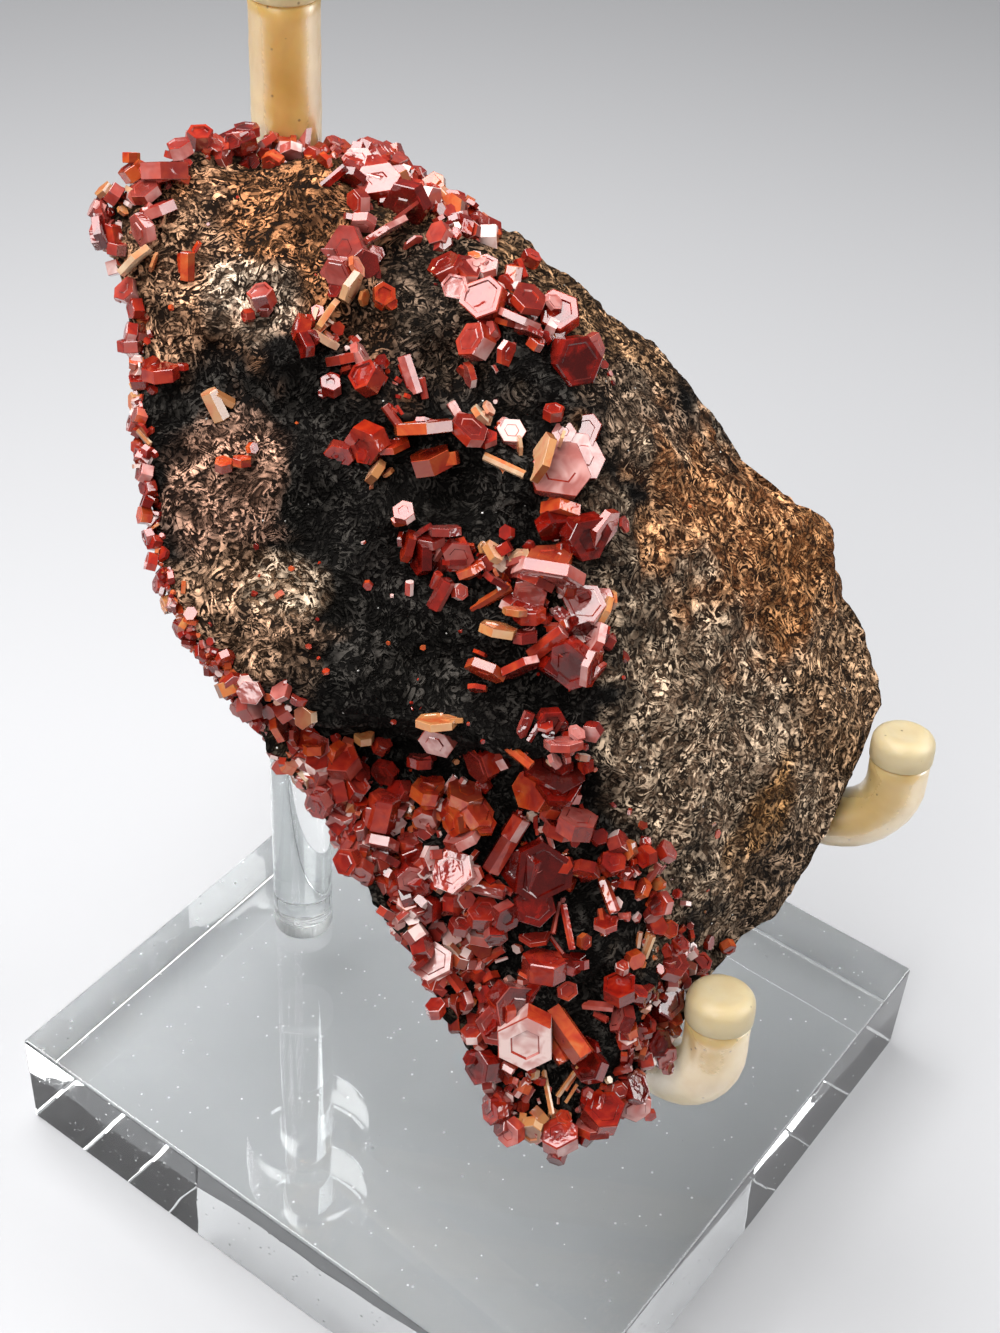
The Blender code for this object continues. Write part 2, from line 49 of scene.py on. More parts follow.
# The camera stands high at the stand's front left and is rolled a little to its left. Its
# place and its turns are measured in the object's own frame.
CAMERA_PLACE = (-171.1, -116.0, 269.1)
CAMERA_DOWN, CAMERA_TURN, CAMERA_ROLL = 49.17, -55.71, 3.78
FRAME_WIDTH_PX, FOCAL_PX = 1000.0, 1996.0
eye = bpy.data.cameras.new("camera")
eye.sensor_fit = "HORIZONTAL"
eye.sensor_width = 36.0
eye.lens = eye.sensor_width * FOCAL_PX / FRAME_WIDTH_PX
eye.clip_start = 0.01
camera = bpy.data.objects.new("camera", eye)
aim = (Matrix.Rotation(math.radians(CAMERA_TURN), 4, "Z")
       @ Matrix.Rotation(math.radians(CAMERA_DOWN), 4, "X")
       @ Matrix.Rotation(math.radians(CAMERA_ROLL), 4, "Z"))
camera.matrix_world = Matrix.Translation(Vector(CAMERA_PLACE) * MM) @ aim
bpy.context.scene.collection.objects.link(camera)
bpy.context.scene.camera = camera


# The floor is a plain pale sheet, and the light comes from soft boxes round the stand and
# from a dim even sky.
FLOOR_GAP = 0.2


def stage_sheet(name, size, colour, roughness):
    """A flat square sheet just under the base, for the object to stand on."""
    half = size / 2
    data = bpy.data.meshes.new(name)
    data.from_pydata([(-half, -half, 0), (half, -half, 0), (half, half, 0), (-half, half, 0)],
                     [], [(0, 1, 2, 3)])
    paint = bpy.data.materials.new(name)
    paint.use_nodes = True
    shader = paint.node_tree.nodes["Principled BSDF"]
    shader.inputs["Base Color"].default_value = (*colour, 1.0)
    shader.inputs["Roughness"].default_value = roughness
    data.materials.append(paint)
    sheet = bpy.data.objects.new(name, data)
    sheet.location.z = -FLOOR_GAP * MM
    bpy.context.scene.collection.objects.link(sheet)


def soft_box(name, place, toward, size, power):
    """A white rectangular area lamp at a place in mm, facing a point in mm."""
    lamp = bpy.data.lights.new(name, "AREA")
    lamp.shape = "RECTANGLE"
    lamp.size, lamp.size_y = size[0] * MM, size[1] * MM
    lamp.energy = power
    box = bpy.data.objects.new(name, lamp)
    box.location = Vector(place) * MM
    look = Vector(toward) - Vector(place)
    box.rotation_euler = look.to_track_quat("-Z", "Y").to_euler()
    bpy.context.scene.collection.objects.link(box)


stage_sheet("floor", 6.0, (0.44, 0.44, 0.45), 0.7)
MIDDLE = (-10.0, -10.0, 105.0)
soft_box("high_light", (-60, 130, 520), MIDDLE, (460, 360), 4.8)
soft_box("near_light", (-420, -60, 420), MIDDLE, (240, 240), 1.9)
soft_box("side_light", (260, -420, 330), MIDDLE, (300, 420), 2.6)
bpy.context.scene.view_settings.view_transform = "Standard"
sky = bpy.data.worlds.new("studio")
bpy.context.scene.world = sky
sky.use_nodes = True
sky.node_tree.nodes["Background"].inputs["Color"].default_value = (0.78, 0.80, 0.83, 1.0)
sky.node_tree.nodes["Background"].inputs["Strength"].default_value = 0.20


# Base block: a thick square of cast acrylic, sawn, with flame-polished edges. It carries the
# post and stands on its flat underside; its top has gathered dust and fine scratches.
def rounded_block(side, thick, radius, steps=4):
    """A square block with rounded upright edges and top and bottom edges.

    Each level of the wall is a rounded square; the levels run round a quarter circle at the
    bottom and the top, and two flat caps close it.
    """
    half = side / 2 - radius
    turn = np.linspace(0, math.pi / 2, steps + 1)
    swell = np.concatenate([np.sin(turn), np.cos(turn)])
    height = np.concatenate([radius * (1 - np.cos(turn)), thick - radius * (1 - np.sin(turn))])
    quarter = np.repeat(np.arange(4), steps + 1) * math.pi / 2
    spin = np.tile(turn, 4) + quarter
    centre_x = half * np.sign(np.cos(quarter + math.pi / 4))
    centre_y = half * np.sign(np.sin(quarter + math.pi / 4))
    around, levels = len(spin), len(height)
    x = centre_x + radius * np.outer(swell, np.cos(spin))
    y = centre_y + radius * np.outer(swell, np.sin(spin))
    points = np.stack([x, y, np.repeat(height, around).reshape(levels, around)], axis=2)
    faces = closed_rows(levels, around).tolist()
    faces.append(list(range(around))[::-1])
    faces.append([(levels - 1) * around + k for k in range(around)])
    return points.reshape(-1, 3), faces


def closed_rows(levels, around):
    """Quads between successive rings of points, each ring joined round to its start."""
    row, col = np.meshgrid(np.arange(levels - 1), np.arange(around), indexing="ij")
    here = row * around + col
    beside = row * around + (col + 1) % around
    return np.stack([here, beside, beside + around, here + around], axis=-1).reshape(-1, 4)


def solid_of(name, points, faces, finish, smooth=True, **marks):
    """A mesh object in metres from points in mm, faces and named point attributes."""
    data = bpy.data.meshes.new(name)
    if isinstance(faces, list):
        data.from_pydata((points * MM).tolist(), [], faces)
    else:
        corners = faces.shape[1]
        data.vertices.add(len(points))
        data.vertices.foreach_set("co", (points * MM).astype(np.float32).ravel())
        data.loops.add(faces.size)
        data.loops.foreach_set("vertex_index", faces.astype(np.int32).ravel())
        data.polygons.add(len(faces))
        data.polygons.foreach_set("loop_start", np.arange(0, faces.size, corners, dtype=np.int32))
    data.update(calc_edges=True)
    for label, values in marks.items():
        values = np.asarray(values, dtype=np.float32)
        kind, key = "FLOAT", "value"
        if values.ndim == 2:
            kind, key = "FLOAT_COLOR", "color"
            values = np.pad(values, ((0, 0), (0, 1)), constant_values=1.0)
        mark = data.attributes.new(label, kind, "POINT")
        mark.data.foreach_set(key, values.ravel())
    if smooth:
        data.shade_smooth()
    else:
        data.shade_flat()
    data.materials.append(finish)
    thing = bpy.data.objects.new(name, data)
    bpy.context.scene.collection.objects.link(thing)
    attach(thing, "root")
    return thing


def new_finish(name):
    """A node material with its tree and its Principled shader."""
    made = bpy.data.materials.new(name)
    made.use_nodes = True
    return made, made.node_tree, made.node_tree.nodes["Principled BSDF"]


def fill(tree, made, inputs):
    """Another node's socket is joined to each named input; a plain value is set on it."""
    for key, value in inputs.items():
        if isinstance(value, bpy.types.NodeSocket):
            tree.links.new(value, made.inputs[key])
        else:
            made.inputs[key].default_value = value
    return made


def node(tree, kind, inputs=None, **settings):
    """A shader node with its settings, and its inputs filled by name."""
    made = tree.nodes.new("ShaderNode" + kind)
    for key, value in settings.items():
        setattr(made, key, value)
    return fill(tree, made, inputs or {})


def calc(tree, operation, first, second=0.0, clamp=False):
    """The result of a Math node on two sockets or numbers."""
    return node(tree, "Math", {0: first, 1: second}, operation=operation,
                use_clamp=clamp).outputs[0]


def spread(tree, value, low, high, to_low=0.0, to_high=1.0):
    """A value carried from one range onto another and held inside it."""
    return node(tree, "MapRange", {"Value": value, "From Min": low, "From Max": high,
                                   "To Min": to_low, "To Max": to_high}).outputs["Result"]


def blend(tree, share, first, second):
    """A mix of two colours, each a socket or three numbers."""
    made = node(tree, "Mix", data_type="RGBA")
    for key, value in (("Factor_Float", share), ("A_Color", first), ("B_Color", second)):
        socket = next(s for s in made.inputs if s.identifier == key)
        if isinstance(value, bpy.types.NodeSocket):
            tree.links.new(value, socket)
        elif key == "Factor_Float":
            socket.default_value = value
        else:
            socket.default_value = (*value, 1.0)
    return next(s for s in made.outputs if s.identifier == "Result_Color")


def bumped(tree, height, strength, distance):
    """A normal tilted by a height that is worth a distance in metres at full strength."""
    return node(tree, "Bump", {"Height": height, "Strength": strength,
                               "Distance": distance}).outputs[0]


def product(tree, *factors):
    """Two or more sockets or numbers multiplied together."""
    total = factors[0]
    for factor in factors[1:]:
        total = calc(tree, "MULTIPLY", total, factor)
    return total


def noise(tree, place, scale, detail=2.0, distortion=0.0):
    """Noise from 0 to 1, in swells of about one over scale metres."""
    return node(tree, "TexNoise", {"Vector": place, "Scale": scale, "Detail": detail,
                                   "Distortion": distortion}).outputs["Fac"]


def object_place(tree):
    """The point's place in the object's own coordinates, in metres."""
    return node(tree, "TexCoord").outputs["Object"]


def mark_of(tree, name, output="Fac"):
    """A named point attribute of the mesh, as a value or as a colour."""
    return node(tree, "Attribute", attribute_name=name).outputs[output]


def laid_out(tree, place, turn, scale):
    """Coordinates scaled along their own axes, then turned about Z by an angle in radians."""
    return node(tree, "Mapping", {"Vector": place, "Rotation": (0.0, 0.0, turn),
                                  "Scale": scale}).outputs[0]


def flecks(tree, place, scale, least, inner, outer):
    """Small round flecks: 1 inside an inner radius, falling to 0 at an outer one.

    Each is the middle of a scattered cell, kept where the cell's own random number is above
    the least one. The radii are shares of a cell.
    """
    cells = node(tree, "TexVoronoi", {"Vector": place, "Scale": scale})
    number = node(tree, "SeparateColor", {0: cells.outputs["Color"]}).outputs[0]
    return product(tree, calc(tree, "GREATER_THAN", number, least),
                   spread(tree, cells.outputs["Distance"], inner, outer, 1.0, 0.0))


def dust_group():
    """Dust and hairline scratches: a mask of specks, and one of thin bent scratches.

    Scratches are where a drawn-out and bent noise passes through its middle value.
    """
    group = bpy.data.node_groups.new("dust_and_scratches", "ShaderNodeTree")
    face = group.interface
    face.new_socket("Vector", in_out="INPUT", socket_type="NodeSocketVector")
    for label, value in (("Speck Scale", 600.0), ("Speck Share", 0.2), ("Scratch Scale", 60.0)):
        face.new_socket(label, in_out="INPUT", socket_type="NodeSocketFloat").default_value = value
    for label in ("Specks", "Scratches"):
        face.new_socket(label, in_out="OUTPUT", socket_type="NodeSocketFloat")
    enter = group.nodes.new("NodeGroupInput")
    leave = group.nodes.new("NodeGroupOutput")
    place, scale = enter.outputs["Vector"], enter.outputs["Scratch Scale"]
    least = calc(group, "SUBTRACT", 1.0, enter.outputs["Speck Share"])
    specks = flecks(group, place, enter.outputs["Speck Scale"], least, 0.12, 0.26)
    lines = []
    for turn, stretch in ((0.5, 9.0), (2.1, 7.0)):
        laid = laid_out(group, place, turn, (1.0, stretch, 1.0))
        drift = calc(group, "SUBTRACT", noise(group, laid, scale, 1.0, 0.4), 0.5)
        line = spread(group, calc(group, "ABSOLUTE", drift), 0.0, 0.0035, 1.0, 0.0)
        lines.append(product(group, line, spread(group, noise(group, laid, 35.0), 0.5, 0.62)))
    fill(group, leave, {"Specks": specks, "Scratches": calc(group, "MAXIMUM", *lines)})
    return group


DUST = dust_group()


def dusted(tree, place, scale, share, scratch=60.0):
    """The dust group placed in a material with its own values."""
    made = node(tree, "Group", node_tree=DUST)
    fill(tree, made, {"Vector": place, "Speck Scale": scale, "Speck Share": share,
                      "Scratch Scale": scratch})
    return made.outputs["Specks"], made.outputs["Scratches"]


def acrylic(name, speck_share):
    """Polished cast acrylic, frosted where sawn, with dust and faint waves in its faces."""
    made, tree, shader = new_finish(name)
    place = object_place(tree)
    specks, scratches = dusted(tree, place, 900.0, speck_share)
    sawn = mark_of(tree, "sawn")
    marks = calc(tree, "MAXIMUM", product(tree, specks, 0.5), product(tree, scratches, 0.16))
    rough = calc(tree, "MAXIMUM", marks, product(tree, sawn, 0.45))
    tint = blend(tree, sawn, (0.965, 0.985, 0.985), (0.86, 0.88, 0.88))
    waves = noise(tree, place, 55.0, 1.0)
    teeth = noise(tree, laid_out(tree, place, 0.7, (1.0, 14.0, 1.0)), 240.0, 3.0)
    height = calc(tree, "ADD", product(tree, waves, 0.10), product(tree, teeth, sawn, 0.5))
    fill(tree, shader, {"Base Color": tint, "Roughness": rough, "IOR": 1.49,
                        "Transmission Weight": 1.0,
                        "Normal": bumped(tree, height, 0.5, 0.001)})
    return made


ACRYLIC_BLOCK = acrylic("acrylic_block", 0.05)
ACRYLIC_ROD = acrylic("acrylic_rod", 0.02)
BASE_SIDE, BASE_THICK, BASE_EDGE = 101.6, 19.05, 0.45
block = solid_of("acrylic_block", *rounded_block(BASE_SIDE, BASE_THICK, BASE_EDGE),
                 ACRYLIC_BLOCK, smooth=False)
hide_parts("base_block")


# Dust: pale grains and short fibres that have settled on the top of the base block, and lie
# loose on the acrylic.
def settled_dust(count, half, level, seed):
    """Low five-sided grains, one in sixteen drawn out to a sliver.

    Each is a ring of five points round its middle, with one point over it and one under it.
    """
    pick = np.random.default_rng(seed)
    middle = np.column_stack([pick.uniform(-half, half, (count, 2)), np.full(count, level)])
    size = 0.035 + 0.07 * pick.random(count) ** 3
    long_way = np.where(pick.random(count) < 0.06, 5.0, 1.0)
    angle = np.linspace(0, 2 * math.pi, 5, endpoint=False) + pick.uniform(0, 6, (count, 1))
    turn = pick.uniform(0, math.pi, (count, 1))
    x = size[:, None] * long_way[:, None] * np.cos(angle)
    y = size[:, None] * np.sin(angle) / np.sqrt(long_way)[:, None]
    rim = np.stack([x * np.cos(turn) - y * np.sin(turn), x * np.sin(turn) + y * np.cos(turn),
                    np.zeros_like(x)], axis=2) + middle[:, None]
    tip = middle + np.column_stack([np.zeros((count, 2)), size * 0.6])
    foot = middle - [0, 0, 0.01]
    points = np.concatenate([rim, tip[:, None], foot[:, None]], axis=1).reshape(-1, 3)
    side = np.array([(k, (k + 1) % 5, 5) for k in range(5)]
                    + [((k + 1) % 5, k, 6) for k in range(5)])
    faces = (side[None] + 7 * np.arange(count)[:, None, None]).reshape(-1, 3)
    return points, faces


dust_finish, tree, shader = new_finish("grey_dust")
tone = noise(tree, object_place(tree), 300.0)
fill(tree, shader, {"Base Color": blend(tree, tone, (0.35, 0.35, 0.36), (0.85, 0.85, 0.85)),
                    "Roughness": 0.9})
GRAINS, BARE_BORDER, LIFT = 650, 2.0, 0.015
dust = solid_of("settled_dust", *settled_dust(GRAINS, BASE_SIDE / 2 - BARE_BORDER,
                                              BASE_THICK + LIFT, 3), dust_finish)


# Post: a clear cast acrylic rod, sawn square at both ends and glued to the base, with its foot
# frosted where the glue has crept up it.
def turned(profile, sides=64):
    """A closed turned shape: a profile of radius and height swept round the Z axis.

    The profile starts and ends on the axis, and runs anticlockwise seen with the axis on the
    left, so that the faces point outwards.
    """
    profile = np.asarray(profile, dtype=float)
    inner = profile[1:-1]
    spin = np.linspace(0, 2 * math.pi, sides, endpoint=False)
    ring = np.stack([np.outer(inner[:, 0], np.cos(spin)), np.outer(inner[:, 0], np.sin(spin)),
                     np.repeat(inner[:, 1:], sides, axis=1)], axis=2).reshape(-1, 3)
    points = np.concatenate([[[0, 0, profile[0, 1]]], ring, [[0, 0, profile[-1, 1]]]])
    quads = closed_rows(len(inner), sides) + 1
    col = np.arange(sides)
    beside = (col + 1) % sides
    last = 1 + (len(inner) - 1) * sides
    fans = np.concatenate([np.stack([np.zeros(sides, int), 1 + beside, 1 + col], axis=1),
                           np.stack([np.full(sides, len(points) - 1), last + col,
                                     last + beside], axis=1)])
    return points, quads.tolist() + fans.tolist()


def box_mm(name):
    """Lowest and highest corners of a solid, in mm."""
    return [np.array(corner[:]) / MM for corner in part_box(name)]


POST_X, POST_Y = -4.4, 33.7
POST_RADIUS = 9.525 / 2
EASE, GLUE_LINE, FROST_FADE, SAWN_REACH = 0.25, 2.8, 0.3, 0.2
post_low, post_high = (corner[2] for corner in box_mm("post"))
points, faces = turned([(0, post_low), (POST_RADIUS - EASE, post_low),
                        (POST_RADIUS, post_low + EASE), (POST_RADIUS, post_low + GLUE_LINE),
                        (POST_RADIUS, post_low + GLUE_LINE + FROST_FADE),
                        (POST_RADIUS, post_high - 2 * FROST_FADE),
                        (POST_RADIUS, post_high - EASE), (POST_RADIUS - EASE, post_high),
                        (0, post_high)])
from_ends = np.minimum(points[:, 2] - post_low - GLUE_LINE, post_high - points[:, 2])
post = solid_of("acrylic_post", points + [POST_X, POST_Y, 0], faces, ACRYLIC_ROD,
                sawn=from_ends < SAWN_REACH)
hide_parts("post")


# Collar: a turned acrylic boss, bored from below to sit on the post and drilled for the thin
# rods. It is glued on and carries the stone's weight through them.
COLLAR_RADIUS, SOCKET_RADIUS, SOCKET_DEPTH = 11.5, POST_RADIUS + 0.3, 8.3
COLLAR_EASE = 0.5
collar_low, collar_high = (corner[2] for corner in box_mm("collar"))
points, faces = turned([(0, collar_low + SOCKET_DEPTH), (SOCKET_RADIUS, collar_low + SOCKET_DEPTH),
                        (SOCKET_RADIUS, collar_low), (COLLAR_RADIUS - COLLAR_EASE, collar_low),
                        (COLLAR_RADIUS, collar_low + COLLAR_EASE),
                        (COLLAR_RADIUS, collar_high - COLLAR_EASE),
                        (COLLAR_RADIUS - COLLAR_EASE, collar_high), (0, collar_high)])
collar = solid_of("acrylic_collar", points + [POST_X, POST_Y, 0], faces, ACRYLIC_ROD,
                  smooth=False)
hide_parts("collar")


# Thin rods: brass, straightened and left bright, their ends set in the collar. They are the
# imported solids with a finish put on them, because their sleeves hide nearly all of them.
brass, tree, shader = new_finish("brass_rod")
tarnish = noise(tree, object_place(tree), 260.0, 3.0)
fill(tree, shader, {"Base Color": blend(tree, tarnish, (0.72, 0.50, 0.22), (0.45, 0.28, 0.11)),
                    "Roughness": spread(tree, tarnish, 0.3, 0.7, 0.22, 0.42), "Metallic": 1.0})
for part in ("finger_rod", "left_hook_rod", "right_hook_rod"):
    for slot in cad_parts[part].material_slots:
        slot.material = brass


# Sleeves: thick rubber tube drawn over each thin rod, translucent, with the rod showing as a
# darker core. Caps: the same rubber, moulded, pushed on the rods' ends against the tube.
def marks_along(path):
    """Distance along a path at each of its points."""
    return np.concatenate([[0.0], np.cumsum(np.linalg.norm(np.diff(path, axis=0), axis=1))])


def at_marks(wanted, marks, values):
    """Values that are given at marks along a path, drawn straight between them."""
    return np.stack([np.interp(wanted, marks, values[:, k]) for k in range(3)], axis=1)


def swept(path, profile, sides=48):
    """A closed profile carried along a path that lies in one plane.

    The profile is pairs of distance along the path and radius. Each becomes a ring round the
    path there, and the last ring is joined to the first.
    """
    marks = marks_along(path)
    along = np.clip(profile[:, 0], 0, marks[-1])
    centre = at_marks(along, marks, path)
    tangent = at_marks(along, marks, np.gradient(path, marks, axis=0))
    tangent /= np.linalg.norm(tangent, axis=1, keepdims=True)
    across = np.cross(path[0] - path[len(path) // 2], path[-1] - path[len(path) // 2])
    if np.linalg.norm(across) < 1e-6:
        across = np.cross(tangent[0], (1.0, 0.2, 0.1))
    across /= np.linalg.norm(across)
    aside = np.cross(across, tangent)
    spin = np.linspace(0, 2 * math.pi, sides, endpoint=False)
    round_trip = (np.cos(spin)[None, :, None] * aside[:, None]
                  - np.sin(spin)[None, :, None] * across)
    points = centre[:, None] + profile[:, 1, None, None] * round_trip
    faces = closed_rows(len(profile) + 1, sides) % (len(profile) * sides)
    return points.reshape(-1, 3), faces


def rubber(name, deep, bright, rough, through, radius):
    """Translucent rubber: cloudy colour, a frosted skin with specks of dust, light through it."""
    made, tree, shader = new_finish(name)
    place = object_place(tree)
    cloudy = noise(tree, place, 130.0, 3.0, 0.6)
    specks, scratches = dusted(tree, place, 1100.0, 0.08, 90.0)
    base = blend(tree, spread(tree, cloudy, 0.35, 0.65), deep, bright)
    base = blend(tree, product(tree, specks, 0.75), base, (0.10, 0.06, 0.03))
    skin = calc(tree, "ADD", rough, product(tree, scratches, 0.2))
    height = calc(tree, "ADD", noise(tree, place, 500.0, 3.0), product(tree, specks, 0.5))
    fill(tree, shader, {"Base Color": base, "Roughness": skin, "IOR": 1.43,
                        "Transmission Weight": through, "Subsurface Weight": 0.6,
                        "Subsurface Radius": radius, "Subsurface Scale": 0.002,
                        "Normal": bumped(tree, height, 0.18, 0.0004)})
    return made


AMBER = rubber("amber_rubber", (0.66, 0.40, 0.11), (0.80, 0.54, 0.19), 0.34, 0.50, (1.0, 0.6, 0.2))
HONEY = rubber("honey_rubber", (0.58, 0.39, 0.14), (0.70, 0.52, 0.24), 0.38, 0.40, (1.0, 0.7, 0.3))
CREAM = rubber("cream_rubber", (0.64, 0.51, 0.29), (0.70, 0.60, 0.39), 0.40, 0.35, (1.0, 0.85, 0.5))
SLEEVE_RADIUS, BORE_RADIUS = 4.2, 2.68
CAP_RADIUS, CAP_LENGTH, CAP_SOCKET, CAP_GAP = 4.4, 4.2, 2.6, 0.1
SLEEVE_GAP, HOOK_BEND = 2.0, 8.0
# Each hook: its tip, its prong's direction and length, and the height its arm leaves the collar.
HOOKS = {
    "left": ((-19.5, -49.3, 77.5), (0.14, 0.10, 1.0), 21.0, 79.0),
    "right": ((28.8, -47.6, 86.0), (0.14, 0.10, 1.0), 18.0, 86.0),
}


def bent_path(tip, direction, length, leaves, spacing=0.4):
    """A hook's centre line from the post's axis: a straight arm, a round knee, the prong.

    The knee is a circle's arc that both straight runs touch. Its points lie between its first
    and last radius by the sines of their shares of the turn, and the whole line is then
    walked in even steps.
    """
    tip, prong = np.array(tip), np.array(direction) / np.linalg.norm(direction)
    knee = tip - prong * length
    start = np.array([POST_X, POST_Y, leaves])
    arm = (start - knee) / np.linalg.norm(start - knee)
    half = math.acos(arm @ prong) / 2
    middle = knee + (arm + prong) / np.linalg.norm(arm + prong) * HOOK_BEND / math.sin(half)
    first = knee + arm * HOOK_BEND / math.tan(half) - middle
    last = knee + prong * HOOK_BEND / math.tan(half) - middle
    sweep = math.pi - 2 * half
    share = np.linspace(0, 1, 24)[:, None]
    bend = first * np.sin((1 - share) * sweep) + last * np.sin(share * sweep)
    bend = middle + bend / math.sin(sweep)
    corners = np.concatenate([[start], bend, [tip]])
    marks = marks_along(corners)
    even = np.arange(0, marks[-1], spacing)
    even = np.append(even[even < marks[-1] - 0.1], marks[-1])
    return at_marks(even, marks, corners)


def sleeve_profile(start, end, lip=0.35):
    """Out along the wall, round the far lip, back down the bore and round the near lip.

    The wall swells and narrows by two slow sine waves, as drawn tube does.
    """
    run = np.linspace(start + lip, end - lip, 60)
    wall = SLEEVE_RADIUS + 0.03 * np.sin(run * 0.9) + 0.02 * np.sin(run * 2.3 + 1.0)
    outward = np.column_stack([run, wall])
    back = np.column_stack([run[::-1], np.full(len(run), BORE_RADIUS)])
    return np.concatenate([[(start, SLEEVE_RADIUS - lip)], outward,
                           [(end, SLEEVE_RADIUS - lip), (end, BORE_RADIUS)], back,
                           [(start, BORE_RADIUS)]])


def cap_profile():
    """A moulded cap's outline from its end's middle to its bore, as radius and height."""
    turn = np.linspace(math.pi / 2, 0, 7)
    edge = 1.7
    rim = np.column_stack([CAP_RADIUS - edge + edge * np.cos(turn), edge * np.sin(turn) - edge])
    dish = [(0.0, -0.12), (1.2, -0.10), (2.2, -0.03)]
    side = [(CAP_RADIUS + 0.04, -CAP_LENGTH * 0.6), (CAP_RADIUS, -CAP_LENGTH + 0.25),
            (CAP_RADIUS - 0.15, -CAP_LENGTH), (BORE_RADIUS, -CAP_LENGTH),
            (BORE_RADIUS, -CAP_LENGTH + CAP_SOCKET), (0.0, -CAP_LENGTH + CAP_SOCKET)]
    return np.concatenate([dish, rim, side])[::-1]


def set_cap(name, tip, direction):
    """A cap turned from its outline and set on a rod's end, against its sleeve."""
    points, faces = turned(cap_profile(), 48)
    turn = Vector((0, 0, 1)).rotation_difference(Vector(direction)).to_matrix()
    cap = solid_of(name, points @ np.array(turn).T + np.array(tip), faces, CREAM)
    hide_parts(name.replace("_rubber", ""))


finger_top = box_mm("finger_cap")[1][2]
upright = np.column_stack([np.full(60, POST_X), np.full(60, POST_Y),
                           np.linspace(collar_high, finger_top, 60)])
prongs = {"finger": (upright, SLEEVE_GAP)}
for side, figures in HOOKS.items():
    prongs[side + "_hook"] = (bent_path(*figures), COLLAR_RADIUS + SLEEVE_GAP)
for part, (path, start) in prongs.items():
    profile = sleeve_profile(start, marks_along(path)[-1] - CAP_LENGTH - CAP_GAP)
    sleeve = solid_of(part + "_rubber_sleeve", *swept(path, profile),
                      AMBER if part == "finger" else HONEY)
    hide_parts(part + "_sleeve")
    set_cap(part + "_rubber_cap", path[-1], path[-1] - path[-2])


# Stone: one broken lump of manganese-stained matrix, velvety black in the middle of its broad
# front face and tan, rust and grey towards the edges. It leans back on the finger and sits in
# the two hooks. Its own frame has X right, Y up and Z out of that face; RIM is its widest
# outline once round, in mm.
STONE_PLACE = (-19.6, -12.7, 110.6)
STONE_LEAN, STONE_TURN = 49.2, -55.7
STONE_CENTRE = np.array([-3.0, 4.0])
BACK_DEPTH = -27.0
RIM = np.array((
    (-27.0, 59.1, 4.2), (-33.5, 57.6, 8.8), (-39.3, 55.3, 17.0), (-43.8, 52.2, 19.0),
    (-46.3, 47.9, 21.0), (-46.5, 43.8, 21.0), (-43.7, 37.7, 22.0), (-42.0, 28.9, 22.0),
    (-41.1, 19.0, 22.0), (-39.0, 9.3, 21.0), (-35.8, 1.7, 20.0), (-30.7, -4.7, 18.0),
    (-25.5, -9.5, 16.0), (-19.6, -16.7, 13.0), (-14.1, -24.7, 10.0), (-7.8, -34.6, 7.0),
    (-0.6, -45.5, 3.0), (4.8, -54.6, 1.0), (10.2, -57.9, -1.0), (17.3, -54.6, -5.0),
    (22.4, -49.0, -8.5), (27.4, -40.2, -13.0), (33.5, -33.8, -21.0), (39.9, -30.8, -29.0),
    (44.1, -24.7, -33.0), (49.8, -13.5, -38.0), (54.6, -1.9, -43.0), (53.0, 3.7, -42.0),
    (47.9, 12.8, -39.0), (43.3, 21.2, -36.0), (38.6, 25.7, -34.0), (30.8, 30.5, -30.0),
    (24.5, 37.5, -26.0), (15.6, 44.5, -21.0), (4.4, 49.9, -13.0), (-3.6, 53.8, -7.0),
    (-11.0, 56.7, -3.0), (-18.1, 58.9, 0.2),
))


def rim_at(angle):
    """Radius and height of the rim at angles about the stone's centre."""
    x, y = RIM[:, 0] - STONE_CENTRE[0], RIM[:, 1] - STONE_CENTRE[1]
    angles = np.arctan2(y, x)
    order = np.argsort(angles)
    radius = np.interp(angle, angles[order], np.hypot(x, y)[order], period=2 * math.pi)
    height = np.interp(angle, angles[order], RIM[order, 2], period=2 * math.pi)
    return radius, height


def lumps(x, y):
    """Low swells over the stone: a sum of crossed sine waves, in mm."""
    return (1.0 * np.sin(0.31 * x + 0.17 * y + 1.0) * np.sin(0.23 * y - 0.12 * x)
            + 0.5 * np.sin(0.52 * x - 0.37 * y + 2.0) + 0.5 * np.sin(0.21 * x + 0.61 * y))


def smooth_step(low, high, value):
    """0 below low, 1 above high, and a soft rise between."""
    t = np.clip((value - low) / (high - low), 0.0, 1.0)
    return t * t * (3.0 - 2.0 * t)


def soft_min(first, second, blend_width):
    """The smaller of two heights with the crease rounded over a width in mm."""
    return -blend_width * np.logaddexp(-first / blend_width, -second / blend_width)


def front_height(x, y):
    """Height of the front: a broad face over an undercut wedge, and a slope on the right.

    Each is a tilted plane. The wedge steps up softly to the broad face, the lower of that and
    the slope is taken with a rounded crease, and a knob and low swells are added.
    """
    broad = 25.0 - 0.06 * (x + 38.0) - 0.22 * np.maximum(y - 42.0, 0.0)
    wedge = 13.0 + 0.30 * (y + 9.0)
    left = wedge + (broad - wedge) * smooth_step(-10.5, -7.0, y + 0.12 * (x + 10.0))
    right = (22.0 - 1.2 * (x - 11.0) + 0.35 * np.minimum(y + 10.0, 0.0)
             - 0.35 * np.maximum(y - 15.0, 0.0))
    knob = 3.0 * np.exp(-((x - 40.0) ** 2 + (y - 22.0) ** 2) / 14.0)
    return soft_min(left, right, 1.6) + knob + lumps(x, y)


